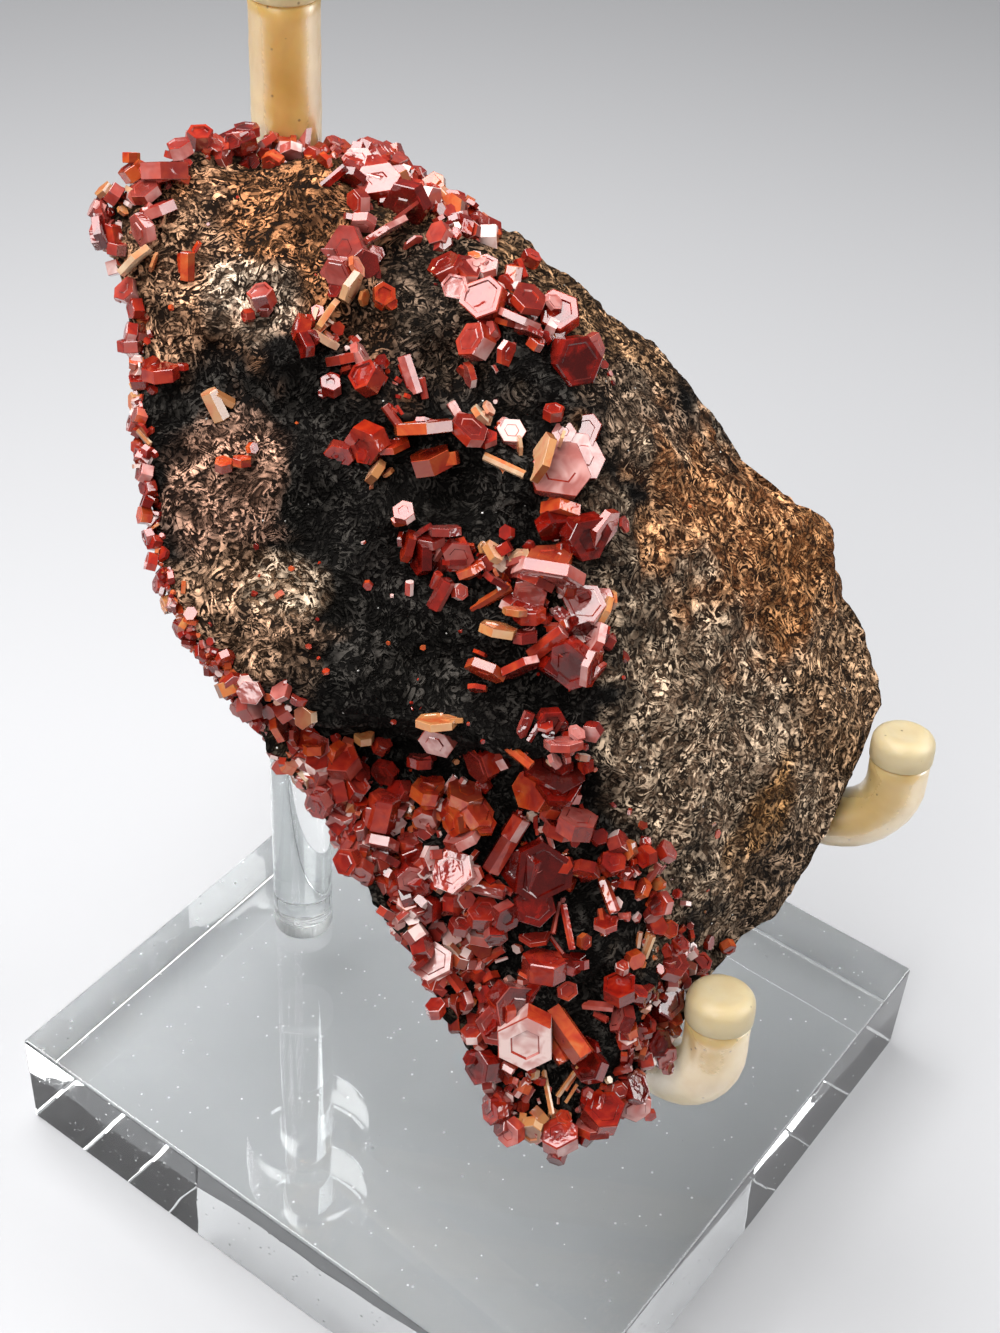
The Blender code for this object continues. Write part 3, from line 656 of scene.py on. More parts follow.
def stone_surface(angle, reach, front):
    """Points of the stone from a direction, a share of the way to the rim, and a side.

    The front leaves the rim by the square root of one less the share's sixth power, and the
    back by one less the share to the power 2.2.
    """
    radius, rim_height = rim_at(angle)
    x = STONE_CENTRE[0] + radius * reach * np.cos(angle)
    y = STONE_CENTRE[1] + radius * reach * np.sin(angle)
    rise = np.sqrt(np.clip(1.0 - reach ** 6, 0.0, 1.0))
    face = rim_height + (front_height(x, y) - rim_height) * rise
    rear = rim_height + (BACK_DEPTH - rim_height) * (1.0 - reach ** 2.2) + 0.5 * lumps(y, x)
    rear = rim_height + (rear - rim_height) * smooth_step(1.0, 0.97, reach)
    return np.stack([x, y, np.where(front, face, rear)], axis=-1)


def cell_number(cells, seed):
    """A fixed number from 0 to 1 for each whole-number cell, well mixed from its indices."""
    low = np.int64(0xFFFFFFFF)
    mixed = (cells @ np.array([73856093, 19349663, 83492791])) ^ np.int64(seed * 40503177)
    for _ in range(2):
        mixed = (((mixed & low) ^ ((mixed & low) >> 16)) * 0x45D9F3B) & low
    return (mixed ^ (mixed >> 16)) / float(low)


def cloud(points, size, seed):
    """Smooth noise from -1 to 1 with swells about size mm across, blended from a lattice."""
    scaled = points / size
    whole = np.floor(scaled).astype(np.int64)
    part = scaled - whole
    part = part * part * (3 - 2 * part)
    total = np.zeros(len(points))
    for corner in range(8):
        step = np.array([corner & 1, (corner >> 1) & 1, (corner >> 2) & 1])
        weight = np.prod(np.where(step == 1, part, 1 - part), axis=1)
        total += weight * cell_number(whole + step, seed)
    return total * 2 - 1


def grains(points, size, seed):
    """Distance to the nearest of scattered grain centres, as a share of the grain size."""
    scaled = points / size
    whole = np.floor(scaled).astype(np.int64)
    nearest = np.full(len(points), 9.0)
    for k in range(27):
        cell = whole + np.array([k % 3 - 1, (k // 3) % 3 - 1, k // 9 - 1])
        centre = cell + np.stack([cell_number(cell, seed + n) for n in (1, 2, 3)], axis=1)
        nearest = np.minimum(nearest, ((scaled - centre) ** 2).sum(axis=1))
    return np.sqrt(nearest)


def stone_net(count):
    """A square grid drawn out to a disc, once for the front and once for the back.

    Each of a grid point's two figures is multiplied by the square root of one less half the
    other's square. The discs share the points along their edges: one closed skin.
    """
    line = np.linspace(-1, 1, count)
    u, v = np.meshgrid(line, line)
    x, y = u * np.sqrt(1 - v * v / 2), v * np.sqrt(1 - u * u / 2)
    angle, reach = np.arctan2(y, x), np.clip(np.hypot(x, y), 0, 1)
    inside = np.zeros((count, count), dtype=bool)
    inside[1:-1, 1:-1] = True
    front_index = np.arange(count * count).reshape(count, count)
    back_index = front_index.copy()
    back_index[inside] = count * count + np.arange(inside.sum())
    front = stone_surface(angle, reach, True).reshape(-1, 3)
    back = stone_surface(angle, reach, False)[inside]

    def quads(grid):
        return np.stack([grid[:-1, :-1], grid[:-1, 1:], grid[1:, 1:], grid[1:, :-1]],
                        axis=-1).reshape(-1, 4)
    faces = np.concatenate([quads(front_index), quads(back_index)[:, ::-1]])
    return np.concatenate([front, back]), faces


def normals_of(points, faces):
    """Unit normals at the points, from the sum of the faces' crossed diagonals."""
    across = np.cross(points[faces[:, 2]] - points[faces[:, 0]],
                      points[faces[:, 3]] - points[faces[:, 1]])
    total = np.zeros_like(points)
    for corner in range(4):
        np.add.at(total, faces[:, corner], across)
    return total / np.maximum(np.linalg.norm(total, axis=1, keepdims=True), 1e-12)


STONE_AXES = np.array(Euler((math.radians(STONE_LEAN), 0, math.radians(STONE_TURN))).to_matrix())


def on_stand(points):
    """Points of the stone's own frame, in mm, set where the stone stands."""
    return points @ STONE_AXES.T + np.array(STONE_PLACE)


def patch(points, x, y, wide, tall, turn=0.0, seed=1, ragged=0.55):
    """A stain's strength: 1 inside a turned oval and 0 outside it, with a ragged edge.

    Two sizes of smooth noise are added to the distance from the oval's middle, and the
    strength falls from 1 to 0 as that goes from 0.62 to 1.38 of the way to the oval.
    """
    dx, dy = points[:, 0] - x, points[:, 1] - y
    turn = math.radians(turn)
    along = (dx * math.cos(turn) + dy * math.sin(turn)) / wide
    across = (dy * math.cos(turn) - dx * math.sin(turn)) / tall
    edge = np.hypot(along, across) + ragged * (cloud(points, 7.0, seed)
                                               + 0.6 * cloud(points, 2.6, seed + 1))
    return smooth_step(1.38, 0.62, edge)


def mound(points, x, y, wide):
    """A bell round a point of the front, by the normal curve with that width in mm."""
    return np.exp(-((points[:, 0] - x) ** 2 + (points[:, 1] - y) ** 2) / 2 / wide ** 2)


NET, SKIN_DROP = 222, 0.55
bare, stone_faces = stone_net(NET)
out = normals_of(bare, stone_faces)
# Pits lie in patches on the stone's left half; a knob and a notch shape its right edge.
hollow = smooth_step(0.60, 0.18, grains(bare, 4.6, 17))
hollow = hollow * smooth_step(0.0, 0.5, cloud(bare, 13.0, 18))
pits = hollow * smooth_step(14.0, 6.0, bare[:, 0])
swell = (0.9 * cloud(bare, 8.0, 11) + 0.7 * cloud(bare, 4.0, 12) + 0.40 * cloud(bare, 1.9, 13)
         + 0.45 * (0.55 - grains(bare, 2.7, 16)) + 0.42 * (0.55 - grains(bare, 1.35, 14))
         - 0.8 * pits)
swell += 2.1 * mound(bare, 41.5, 21.5, 3.4) - 1.3 * mound(bare, 33.5, 30.0, 3.2)
stone_points = bare + out * (swell - SKIN_DROP)[:, None]

# Stain of each area: centre, half width and height, turn, and its dark and light colour.
STAINS = (
    ((-27, 48, 17, 13, -8), (0.018, 0.008, 0.003), (0.68, 0.29, 0.125)),
    ((-40, 41, 6, 12, 0), (0.026, 0.010, 0.005), (0.98, 0.55, 0.32)),
    ((-29, 39, 5, 4, 20), (0.05, 0.024, 0.012), (1.0, 0.76, 0.56)),
    ((-12, 50, 9, 5, -25), (0.012, 0.006, 0.003), (0.48, 0.26, 0.13)),
    ((-9, 40, 9, 7, -30), (0.008, 0.006, 0.004), (0.24, 0.16, 0.11)),
    ((8, 44, 17, 6, -36), (0.022, 0.010, 0.005), (0.92, 0.52, 0.27)),
    ((-31, 17, 6, 7.5, 10), (0.028, 0.012, 0.007), (0.90, 0.50, 0.34)),
    ((-29, 3.5, 7.5, 6, -10), (0.040, 0.020, 0.010), (0.88, 0.52, 0.32)),
    ((-23, 7, 4.5, 3, 0), (0.12, 0.060, 0.028), (1.0, 0.74, 0.52)),
    ((18, 30, 8, 7, -40), (0.016, 0.010, 0.006), (0.75, 0.50, 0.34)),
    ((35, -8, 17, 37, 14), (0.095, 0.050, 0.028), (1.0, 0.73, 0.50)),
    ((41, -38, 8, 9, -20), (0.030, 0.017, 0.010), (0.78, 0.54, 0.37)),
    ((31, 18, 15, 12, -32), (0.115, 0.034, 0.010), (1.0, 0.50, 0.23)),
    ((41, 14, 9, 10, 0), (0.120, 0.036, 0.009), (1.0, 0.48, 0.20)),
    ((36, -17, 3, 8, -25), (0.070, 0.026, 0.008), (0.95, 0.50, 0.20)),
    ((49, 0, 8, 17, -12), (0.060, 0.025, 0.010), (1.0, 0.62, 0.36)),
    ((40, -26, 8, 6, -30), (0.020, 0.012, 0.008), (0.60, 0.40, 0.26)),
)
# The grey threads of the black middle stand for light caught by glossy flakes: a painted highlight.
# The stains' light colours are their threads' own colour.
DARK_STAIN, DARK_THREAD_HIGHLIGHT = (0.0024, 0.0021, 0.0018), (0.052, 0.046, 0.040)
stain = np.tile(DARK_STAIN, (len(bare), 1))
thread = np.tile(DARK_THREAD_HIGHLIGHT, (len(bare), 1))
for number, (oval, dark, light) in enumerate(STAINS):
    share = patch(bare, *oval, seed=30 + 2 * number)[:, None]
    stain = stain + (np.array(dark) - stain) * share
    thread = thread + (np.array(light) - thread) * share
behind = smooth_step(4.0, -8.0, bare[:, 2] - rim_at(np.arctan2(bare[:, 1] - STONE_CENTRE[1],
                                                              bare[:, 0] - STONE_CENTRE[0]))[1])
behind = (behind * smooth_step(0.0, -0.5, out[:, 2]))[:, None]
earthy = smooth_step(-0.2, 0.4, cloud(bare, 11.0, 77))[:, None]
stain = stain + (np.array((0.055, 0.038, 0.026)) + earthy * (0.05, 0.03, 0.012) - stain) * behind
thread = thread + (np.array((0.26, 0.20, 0.145)) + earthy * (0.16, 0.09, 0.03) - thread) * behind
# The colour is darker in the pits: painted shade in the hollows.
pit_shade = (1.0 - 0.75 * pits)[:, None]
stain, thread = stain * pit_shade, thread * pit_shade


def matrix_finish():
    """Pitted manganese oxide under a mat of fine curled threads, with painted highlights.

    Threads are the crests of a bent noise run through several turns of a saw, broken into
    short curls by a second noise, and painted brighter in patches as highlights. The dark gaps
    along its troughs and in dark patches are painted shade. The pattern is drawn out along the
    depth of the stone's face, so that it doesn't smear down the steep sides. A few pale flecks
    with painted glints lie over it.
    """
    made, tree, shader = new_finish("felted_matrix")
    mapping = node(tree, "Mapping", {"Vector": object_place(tree), "Scale": (1.0, 1.0, 1.9),
                                     "Location": [figure * MM for figure in STONE_PLACE],
                                     "Rotation": (math.radians(STONE_LEAN), 0.0,
                                                  math.radians(STONE_TURN))},
                   vector_type="TEXTURE")
    place = mapping.outputs["Vector"]
    ground, light = mark_of(tree, "stain", "Color"), mark_of(tree, "thread", "Color")
    curls, trough_shade = [], []
    for scale, bend, turns, broken in ((160.0, 3.2, 4.6, 560.0), (260.0, 3.0, 4.4, 820.0),
                                       (520.0, 1.6, 3.4, 1500.0)):
        drift = noise(tree, place, scale, 1.0, bend)
        saw = calc(tree, "PINGPONG", product(tree, drift, turns * 2.0), 1.0)
        crest = spread(tree, saw, 0.50, 0.64)
        whole = spread(tree, noise(tree, place, broken, 1.0, 1.0), 0.485, 0.52)
        curls.append(product(tree, crest, whole))
        trough_shade.append(spread(tree, saw, 0.06, 0.34, 1.0, 0.0))
    mat = calc(tree, "MAXIMUM", curls[0], product(tree, curls[1], 0.80))
    mat = calc(tree, "MAXIMUM", mat, product(tree, curls[2], 0.35))
    uneven = spread(tree, noise(tree, place, 260.0, 3.0, 0.6), 0.36, 0.60, 0.25, 1.0)
    # Painted highlight: the threads are brighter in some patches than in others.
    highlight_patches = spread(tree, noise(tree, place, 620.0, 2.0), 0.42, 0.56, 0.28, 1.0)
    share = product(tree, mat, uneven, highlight_patches)
    body = blend(tree, 0.06, ground, light)
    # Painted shade: near black in dark patches and in the troughs between the threads.
    deep = spread(tree, noise(tree, place, 480.0, 2.0, 1.6), 0.44, 0.56, 0.0, 1.0)
    gap_shade = calc(tree, "MAXIMUM", product(tree, trough_shade[0], 0.8), trough_shade[1])
    deep = product(tree, deep, calc(tree, "SUBTRACT", 1.0, product(tree, gap_shade, 0.85)))
    colour = blend(tree, deep, blend(tree, 0.92, body, (0.002, 0.0016, 0.0014)), body)
    colour = blend(tree, share, colour, light)
    # Rare flecks painted near white as glints, with a glossier skin than the rest.
    glint_fleck = flecks(tree, place, 1300.0, 0.986, 0.08, 0.19)
    colour = blend(tree, glint_fleck, colour, (0.80, 0.77, 0.72))
    height = calc(tree, "ADD", mat, product(tree, deep, 0.6))
    fill(tree, shader, {"Base Color": colour, "Specular IOR Level": 0.03,
                        "Roughness": spread(tree, glint_fleck, 0.0, 1.0, 0.72, 0.2),
                        "Normal": bumped(tree, height, 1.0, 0.0007)})
    return made


stone = solid_of("matrix_stone", on_stand(stone_points), stone_faces, matrix_finish(),
                 stain=stain, thread=thread)
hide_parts("matrix")


# Vanadinite: red six-sided plates and short prisms, grown on the stone and through each other,
# glassy to resinous. The large ones are placed one by one; the druses between them are sown
# along the stone's edges and ledges.
def ring_corners(gaps):
    """Corners of hexagons whose six sides stand at the given distances from the middle.

    Each corner is where two neighbouring sides meet, so every angle stays 120 degrees.
    """
    after = np.roll(gaps, -1, axis=1)
    angle = np.arange(6) * math.pi / 3
    side = np.stack([np.cos(angle), np.sin(angle)], axis=1)
    return ((gaps - after / 2)[..., None] * side
            + (after - gaps / 2)[..., None] * np.roll(side, -1, axis=0)) / 0.75


def crystals(middles, axes, widths, lengths, pick, terraced):
    """Six-sided prisms with bevelled edges, all in one array of points and one of quads.

    Rings from the bottom: face, edge, edge, face, and on a terraced one the foot and the top
    of a low step or hollow in the end face. Also gives how near each point is to an edge.
    """
    count = len(middles)
    turn = pick.uniform(0, math.pi / 3, count)
    helper = np.where(np.abs(axes[:, 2:]) < 0.8, [[0.0, 0.0, 1.0]], [[1.0, 0.0, 0.0]])
    first = np.cross(axes, helper)
    first /= np.linalg.norm(first, axis=1, keepdims=True)
    second = np.cross(axes, first)
    gaps = widths[:, None] / 2 * pick.uniform(0.78, 1.0, (count, 6))
    bevel = np.minimum(widths, lengths) * pick.uniform(0.02, 0.06, count)
    half = lengths / 2
    rings = [(gaps - bevel[:, None], -half), (gaps, bevel - half), (gaps, half - bevel),
             (gaps - bevel[:, None], half)]
    edge = [0.7, 1.0, 1.0, 0.7]
    if terraced:
        share = pick.uniform(0.45, 0.86, (count, 1)) * pick.uniform(0.93, 1.0, (count, 6))
        step = np.minimum(widths, lengths) * pick.uniform(-0.16, 0.12, count)
        flat = rings[3][0]
        rings += [(flat * share, half), (flat * (share - 0.06), half + step)]
        edge += [0.25, 0.1]
    flat_points = np.stack([ring_corners(size) for size, _ in rings], axis=1)
    heights = np.stack([height for _, height in rings], axis=1)
    cos, sin = np.cos(turn)[:, None, None], np.sin(turn)[:, None, None]
    x = flat_points[..., 0] * cos - flat_points[..., 1] * sin
    y = flat_points[..., 0] * sin + flat_points[..., 1] * cos
    points = (middles[:, None, None] + x[..., None] * first[:, None, None]
              + y[..., None] * second[:, None, None]
              + heights[:, :, None, None] * axes[:, None, None])
    levels = len(rings)
    top = (levels - 1) * 6
    one = np.concatenate([closed_rows(levels, 6), [(0, 3, 2, 1), (0, 5, 4, 3)],
                          [(top, top + 1, top + 2, top + 3), (top, top + 3, top + 4, top + 5)]])
    faces = (one[None] + 6 * levels * np.arange(count)[:, None, None]).reshape(-1, 4)
    near = np.broadcast_to(np.repeat(edge, 6), (count, 6 * levels)).ravel()
    return points.reshape(-1, 3), faces, near


# Colour of a crystal as depth of red to orange, and how far a pale sheen covers it: in
# part a frosted bloom, in part a painted reflection of the lights.
KINDS = {"deep": (0.14, 0.03), "red": (0.34, 0.08), "orange": (0.56, 0.07), "tan": (0.86, 0.25),
         "pink": (0.38, 0.42), "dusky": (0.24, 0.26), "white": (0.42, 0.80), "cream": (0.80, 0.70)}
# Large crystals in the stone's frame, zone by zone: X, Y, width and length along the axis in
# mm, the axis's lean from Z and the bearing of that lean in degrees, and the kind.
LARGE = (
    # The rim, along the top and down the left edge.
    (-39, 59, 3, 1.8, 40, 80, "pink"), (-40, 56, 2.7, 1.6, 50, 110, "pink"),
    (-37, 57.5, 2.8, 1.4, 35, 60, "pink"), (-41, 52.5, 5.6, 1.9, 78, 95, "pink"),
    (-45, 52.5, 2.7, 1.6, 60, 130, "orange"), (-42.5, 50, 3.3, 1.3, 40, 120, "pink"),
    (-40.5, 47.5, 4, 1.2, 72, 115, "pink"), (-42, 45, 3.7, 1.2, 60, 210, "pink"),
    (-46.5, 49.5, 2.6, 1.4, 70, 150, "dusky"), (-48, 50, 2.2, 1.4, 60, 140, "tan"),
    (-49, 47.5, 2.2, 1.3, 65, 160, "pink"), (-47.5, 47, 2.7, 0.9, 75, 20, "dusky"),
    (-47, 45, 3.8, 1, 78, 15, "deep"), (-48, 44.5, 3.3, 0.9, 80, 10, "dusky"),
    (-45, 43, 2.2, 1.3, 70, 85, "dusky"), (-42.5, 41.5, 4.8, 0.7, 84, 135, "cream"),
    (-43.5, 38.5, 2.9, 1.3, 35, 150, "pink"), (-42.5, 36.5, 2.4, 1.3, 60, 190, "red"),
    (-35, 60, 4.7, 1.6, 50, 100, "deep"), (-35.5, 61.5, 3, 0.9, 70, 100, "pink"),
    (-33, 56.5, 2.5, 1.1, 12, 0, "pink"), (-32, 61, 3.5, 0.9, 75, 130, "pink"),
    (-30, 56.5, 2.5, 1.6, 45, 250, "orange"), (-30.5, 61.5, 3.6, 1.9, 45, 80, "orange"),
    (-29, 60, 2.8, 1.2, 40, 270, "pink"), (-27, 61.5, 1.7, 5.5, 82, 88, "pink"),
    (-25, 62.5, 2.6, 1.9, 55, 60, "pink"), (-23, 62, 2.4, 1.4, 60, 45, "orange"),
    (-20.5, 57.5, 3.7, 1.4, 30, 100, "white"), (-20.5, 54.5, 3.2, 1.1, 70, 260, "deep"),
    (-18, 61.5, 6.3, 1.9, 62, 65, "pink"), (-16, 60.5, 4.6, 1.7, 60, 35, "orange"),
    (-17.5, 54.5, 5.1, 1.6, 28, 110, "pink"), (-19.5, 51.5, 2.9, 1.4, 50, 200, "pink"),
    (-18.5, 48.5, 3.1, 1.1, 70, 265, "pink"), (-14, 51.5, 5.7, 1.8, 45, 230, "deep"),
    (-12, 53.5, 3.5, 1.2, 75, 30, "pink"), (-11, 54, 4, 1.4, 55, 60, "red"),
    (-8.5, 53, 3, 1.6, 50, 60, "pink"), (-7.5, 49.5, 3, 1.4, 60, 170, "red"),
    (-10, 48, 2.9, 1.4, 40, 160, "pink"), (-23, 53.5, 1.1, 5.2, 82, 42, "deep"),
    (-43, 34, 2.4, 1.1, 70, 175, "pink"), (-43, 32.5, 2.7, 1.3, 72, 95, "dusky"),
    (-42, 28.5, 1.8, 1.1, 40, 150, "tan"), (-42, 26.5, 2, 1.1, 60, 190, "tan"),
    (-40.6, 18.6, 2.4, 1.4, 60, 170, "pink"), (-40.2, 17.2, 2, 1.2, 50, 200, "red"),
    (-42.5, 24, 2, 1.1, 65, 175, "dusky"), (-41, 20.5, 2.1, 1, 60, 190, "red"),
    (-40.2, 15.5, 2, 1.1, 70, 165, "deep"), (-41, 14, 2.2, 1.2, 60, 180, "orange"),
    (-40.5, 11.5, 2, 1, 66, 200, "dusky"), (-40, 9, 2.2, 1.1, 70, 170, "pink"),
    (-39, 6.5, 2, 1, 60, 185, "red"), (-38, 4, 2, 1, 66, 200, "tan"),
    (-36, 1.5, 2.2, 1.1, 60, 210, "dusky"),
    # The face just below the top rim, towards its right end.
    (-20, 45, 5.1, 1.6, 18, 200, "dusky"), (-18, 43.5, 3.5, 1.1, 25, 330, "dusky"),
    (-20.5, 42, 3.7, 1.3, 35, 230, "dusky"), (-16, 47.5, 5.8, 0.7, 82, 125, "pink"),
    (-17, 45, 2, 1.1, 30, 0, "white"), (-15.5, 40, 2.6, 1.3, 15, 0, "orange"),
    (-19, 40.5, 3.7, 0.8, 82, 335, "tan"), (-9, 44, 3.6, 1.3, 45, 130, "red"),
    (-6.5, 44, 3.3, 1.3, 40, 60, "pink"), (-4.5, 40.5, 4.9, 2.2, 18, 160, "white"),
    (-4.5, 44.5, 2.9, 1.1, 35, 100, "white"), (-1.5, 43, 2, 4.1, 80, 85, "orange"),
    (0.5, 41, 4.3, 1.1, 45, 60, "pink"), (4, 40, 5.1, 2.5, 14, 100, "red"),
    (6, 34.5, 5.8, 2.9, 28, 340, "deep"), (8, 36, 5, 0.9, 60, 350, "pink"),
    (-5, 35.5, 4.4, 2.2, 45, 165, "pink"), (-4, 36.5, 2.9, 1.5, 30, 60, "deep"),
    (-1.5, 34.5, 2.9, 0.7, 60, 340, "white"), (-0.5, 38.5, 4.9, 0.9, 80, 70, "pink"),
    (-5.5, 32, 3.1, 0.7, 75, 200, "white"), (0.5, 47, 2.1, 1.4, 50, 60, "red"),
    (1.5, 36, 2.2, 1.1, 60, 60, "orange"),
    # The broad face.
    (-37, 41.5, 1.6, 3.1, 70, 90, "orange"), (-28.5, 38.5, 3.1, 2, 45, 110, "pink"),
    (-30, 36.5, 1.5, 1.1, 60, 200, "pink"), (-24, 35.5, 3.1, 1.5, 70, 170, "red"),
    (-22.5, 37.5, 1.6, 0.9, 30, 90, "white"), (-21.5, 37, 4.4, 0.7, 84, 150, "cream"),
    (-21.5, 34.5, 3.5, 0.8, 80, 60, "cream"), (-19.5, 32.5, 3.5, 1, 78, 105, "pink"),
    (-17.5, 33, 3.3, 1, 75, 30, "pink"), (-16.5, 30.5, 3.7, 2, 42, 150, "red"),
    (-20.5, 29.5, 2.6, 1.5, 30, 90, "dusky"), (-23.5, 33.5, 2.8, 1.1, 60, 200, "deep"),
    (-12, 31.5, 1.6, 4.4, 80, 112, "pink"), (-13.5, 26.5, 0.9, 2.8, 82, 130, "pink"),
    (-10, 25.5, 6.6, 1.3, 80, 98, "orange"), (-9, 22, 4.4, 2, 66, 112, "orange"),
    (-16, 23.5, 4.7, 2.1, 50, 225, "red"), (-15, 20.5, 2.9, 0.9, 75, 150, "tan"),
    (-5, 25.5, 3.9, 1.3, 45, 60, "pink"), (-6.5, 27.5, 1.1, 2.9, 75, 125, "white"),
    (-4, 27.5, 2.6, 0.7, 75, 40, "cream"), (-0.5, 26, 3.1, 1.1, 12, 60, "white"),
    (-1, 22, 1, 5, 80, 338, "cream"), (-11.5, 16, 2.6, 1.1, 32, 110, "white"),
    (-39, 29.5, 4.2, 1.5, 66, 96, "red"), (-33, 26.5, 2, 3.5, 66, 118, "tan"),
    (-31.5, 20, 2, 1.1, 50, 90, "orange"), (-29.5, 20.5, 2, 0.9, 66, 90, "orange"),
    (-28.5, 22, 1.3, 0.9, 40, 0, "orange"), (-40.5, 22.5, 0.7, 2.2, 80, 315, "cream"),
    # The ridge between the face and the right slope.
    (4, 28.5, 2.4, 1.3, 50, 90, "pink"), (5, 22, 6.8, 1.8, 14, 60, "pink"),
    (7.5, 24, 5.1, 1.3, 32, 20, "pink"), (3, 23, 5.5, 0.9, 72, 165, "tan"),
    (5.5, 17.5, 4.4, 1.5, 66, 268, "orange"), (8.5, 15, 5.3, 2.4, 36, 325, "deep"),
    (10.5, 16, 4.4, 0.9, 66, 330, "pink"), (4.5, 12, 5.5, 1.3, 58, 88, "orange"),
    (4.5, 10.5, 7.3, 1.4, 78, 262, "pink"), (1.5, 12, 2.4, 1.3, 50, 120, "cream"),
    (3, 8.5, 4, 1.5, 35, 250, "dusky"), (6, 13.5, 1.5, 0.9, 40, 0, "pink"),
    (-8.5, 13.5, 3.1, 1.1, 55, 100, "dusky"), (-7.5, 12.5, 1.2, 2.6, 70, 60, "white"),
    (-5.5, 12, 3.5, 1.5, 28, 300, "dusky"), (-9.5, 11.5, 3.7, 1.3, 60, 190, "deep"),
    (-7, 14.5, 4, 0.9, 78, 95, "dusky"), (-11, 12.5, 3.3, 0.9, 75, 170, "red"),
    (-7, 7.5, 1.8, 3.7, 70, 65, "dusky"), (-5, 8, 1.8, 1.1, 30, 0, "white"),
    (-10.5, 8, 1, 1.6, 60, 90, "white"), (-4, 10.5, 3.7, 0.9, 76, 120, "orange"),
    (-1.5, 12.5, 2.6, 0.9, 60, 40, "tan"), (-1.5, 7.5, 1.2, 5.1, 82, 35, "orange"),
    (-1, 9.5, 3.3, 0.7, 80, 60, "dusky"), (3, 6, 3.5, 1.5, 66, 95, "red"),
    (9, 7.5, 4.7, 1.6, 20, 120, "white"), (5, 3, 1.8, 4.8, 72, 41, "pink"),
    (7, 5, 2, 1.6, 50, 41, "white"), (8.5, 5, 4, 1.3, 60, 300, "deep"),
    (8.5, 3.5, 1.8, 1.1, 50, 60, "white"), (10, 3.5, 5.1, 1, 72, 160, "pink"),
    (8, 1, 5.3, 2.2, 34, 230, "deep"), (10, 0.5, 4.6, 0.9, 70, 345, "pink"),
    (2.5, 3.5, 3.1, 1.1, 75, 95, "dusky"), (-0.5, 4, 3.9, 1, 76, 80, "tan"),
    (-1.5, -0.5, 4.2, 1.1, 76, 250, "orange"), (2, 0, 4.6, 0.9, 78, 295, "pink"),
    (11, 7, 4.2, 0.7, 76, 160, "tan"), (10.5, 2.5, 1.5, 0.9, 30, 0, "white"),
    # The upper part of the wedge, below the ledge.
    (3, -6.5, 1.3, 3.8, 80, 72, "dusky"), (6, -5.5, 2.9, 1.6, 26, 310, "deep"),
    (-1.5, -11, 4.6, 1.8, 60, 212, "red"), (1, -10.5, 2.7, 1, 74, 25, "white"),
    (2.5, -9.5, 1.3, 4.2, 78, 325, "orange"), (7, -10.5, 7.2, 1.8, 20, 60, "deep"),
    (7.5, -8, 4.4, 0.9, 78, 95, "pink"), (5, -13.5, 5.3, 2.5, 42, 190, "orange"),
    (8.5, -14, 3.9, 1.2, 76, 75, "pink"), (7, -16, 2.6, 1.4, 60, 60, "pink"),
    (10, -17.5, 4.9, 2.1, 66, 80, "pink"), (2, -20.5, 2.4, 7.6, 80, 63, "red"),
    (3, -18.5, 2.3, 3, 78, 63, "pink"), (6.5, -23.5, 7.3, 2.1, 14, 320, "deep"),
    (4, -23.5, 5.4, 1.6, 38, 200, "deep"), (5.5, -22.5, 3.5, 1.4, 20, 100, "dusky"),
    (-4, -24, 5.4, 1.6, 18, 150, "white"), (0, -26, 1.6, 4.7, 80, 352, "pink"),
    (-3, -15, 4.2, 1.6, 55, 80, "orange"), (-1.5, -17, 3.9, 1.6, 50, 40, "orange"),
    (-4, -18, 3.9, 1.4, 60, 200, "orange"), (-3, -20, 4.2, 1.2, 70, 120, "pink"),
    (-5, -14, 0.9, 2.5, 75, 55, "white"), (-4, -14.5, 0.9, 3.2, 75, 60, "white"),
    (-7.5, -18, 2.8, 1.4, 45, 260, "pink"), (-7.5, -15, 4.2, 1.6, 66, 80, "orange"),
    (-6.5, -8.5, 4.2, 1.6, 45, 240, "pink"), (-6.5, -6.5, 4.4, 0.9, 72, 95, "tan"),
    (14.5, -22, 3.1, 1.9, 30, 60, "red"), (17, -22.5, 0.6, 2.6, 80, 325, "white"),
    (11.5, -23, 3.3, 1.4, 66, 262, "red"), (14.5, -26, 1.5, 4.5, 76, 294, "orange"),
    (14.5, -29.5, 2.8, 0.9, 55, 100, "pink"), (7, -19.5, 0.7, 2.8, 75, 110, "white"),
    (-24.5, -8.5, 3.9, 0.9, 76, 20, "orange"), (-22.5, -7.5, 2, 1.4, 40, 60, "pink"),
    (-22.5, -11, 1.8, 1.1, 50, 230, "white"), (-20.5, -10.5, 3, 1.1, 70, 95, "orange"),
    (-20.5, -13.5, 3.2, 1.6, 40, 200, "pink"), (-17.5, -12, 4.4, 2.3, 35, 110, "pink"),
    (-13, -10, 2.3, 1.6, 50, 60, "red"), (-15, -9, 2.3, 1.1, 50, 90, "tan"),
    (-18, -15.5, 3.5, 1.6, 60, 200, "dusky"), (-19.5, -17, 3.2, 1.4, 45, 220, "dusky"),
    (-15.5, -15, 3, 1.6, 50, 60, "red"), (-12.5, -17.5, 3.5, 4.2, 66, 80, "red"),
    (-15, -20, 1.9, 1.6, 55, 100, "white"), (-12.5, -21.5, 4.4, 1.2, 72, 262, "dusky"),
    (-16.5, -24, 3.2, 1.6, 30, 200, "pink"), (-14.5, -24.5, 3, 1.4, 50, 260, "pink"),
    (-9, -25, 3.5, 1.6, 30, 320, "dusky"), (-8.5, -11.5, 3.5, 1.2, 76, 90, "dusky"),
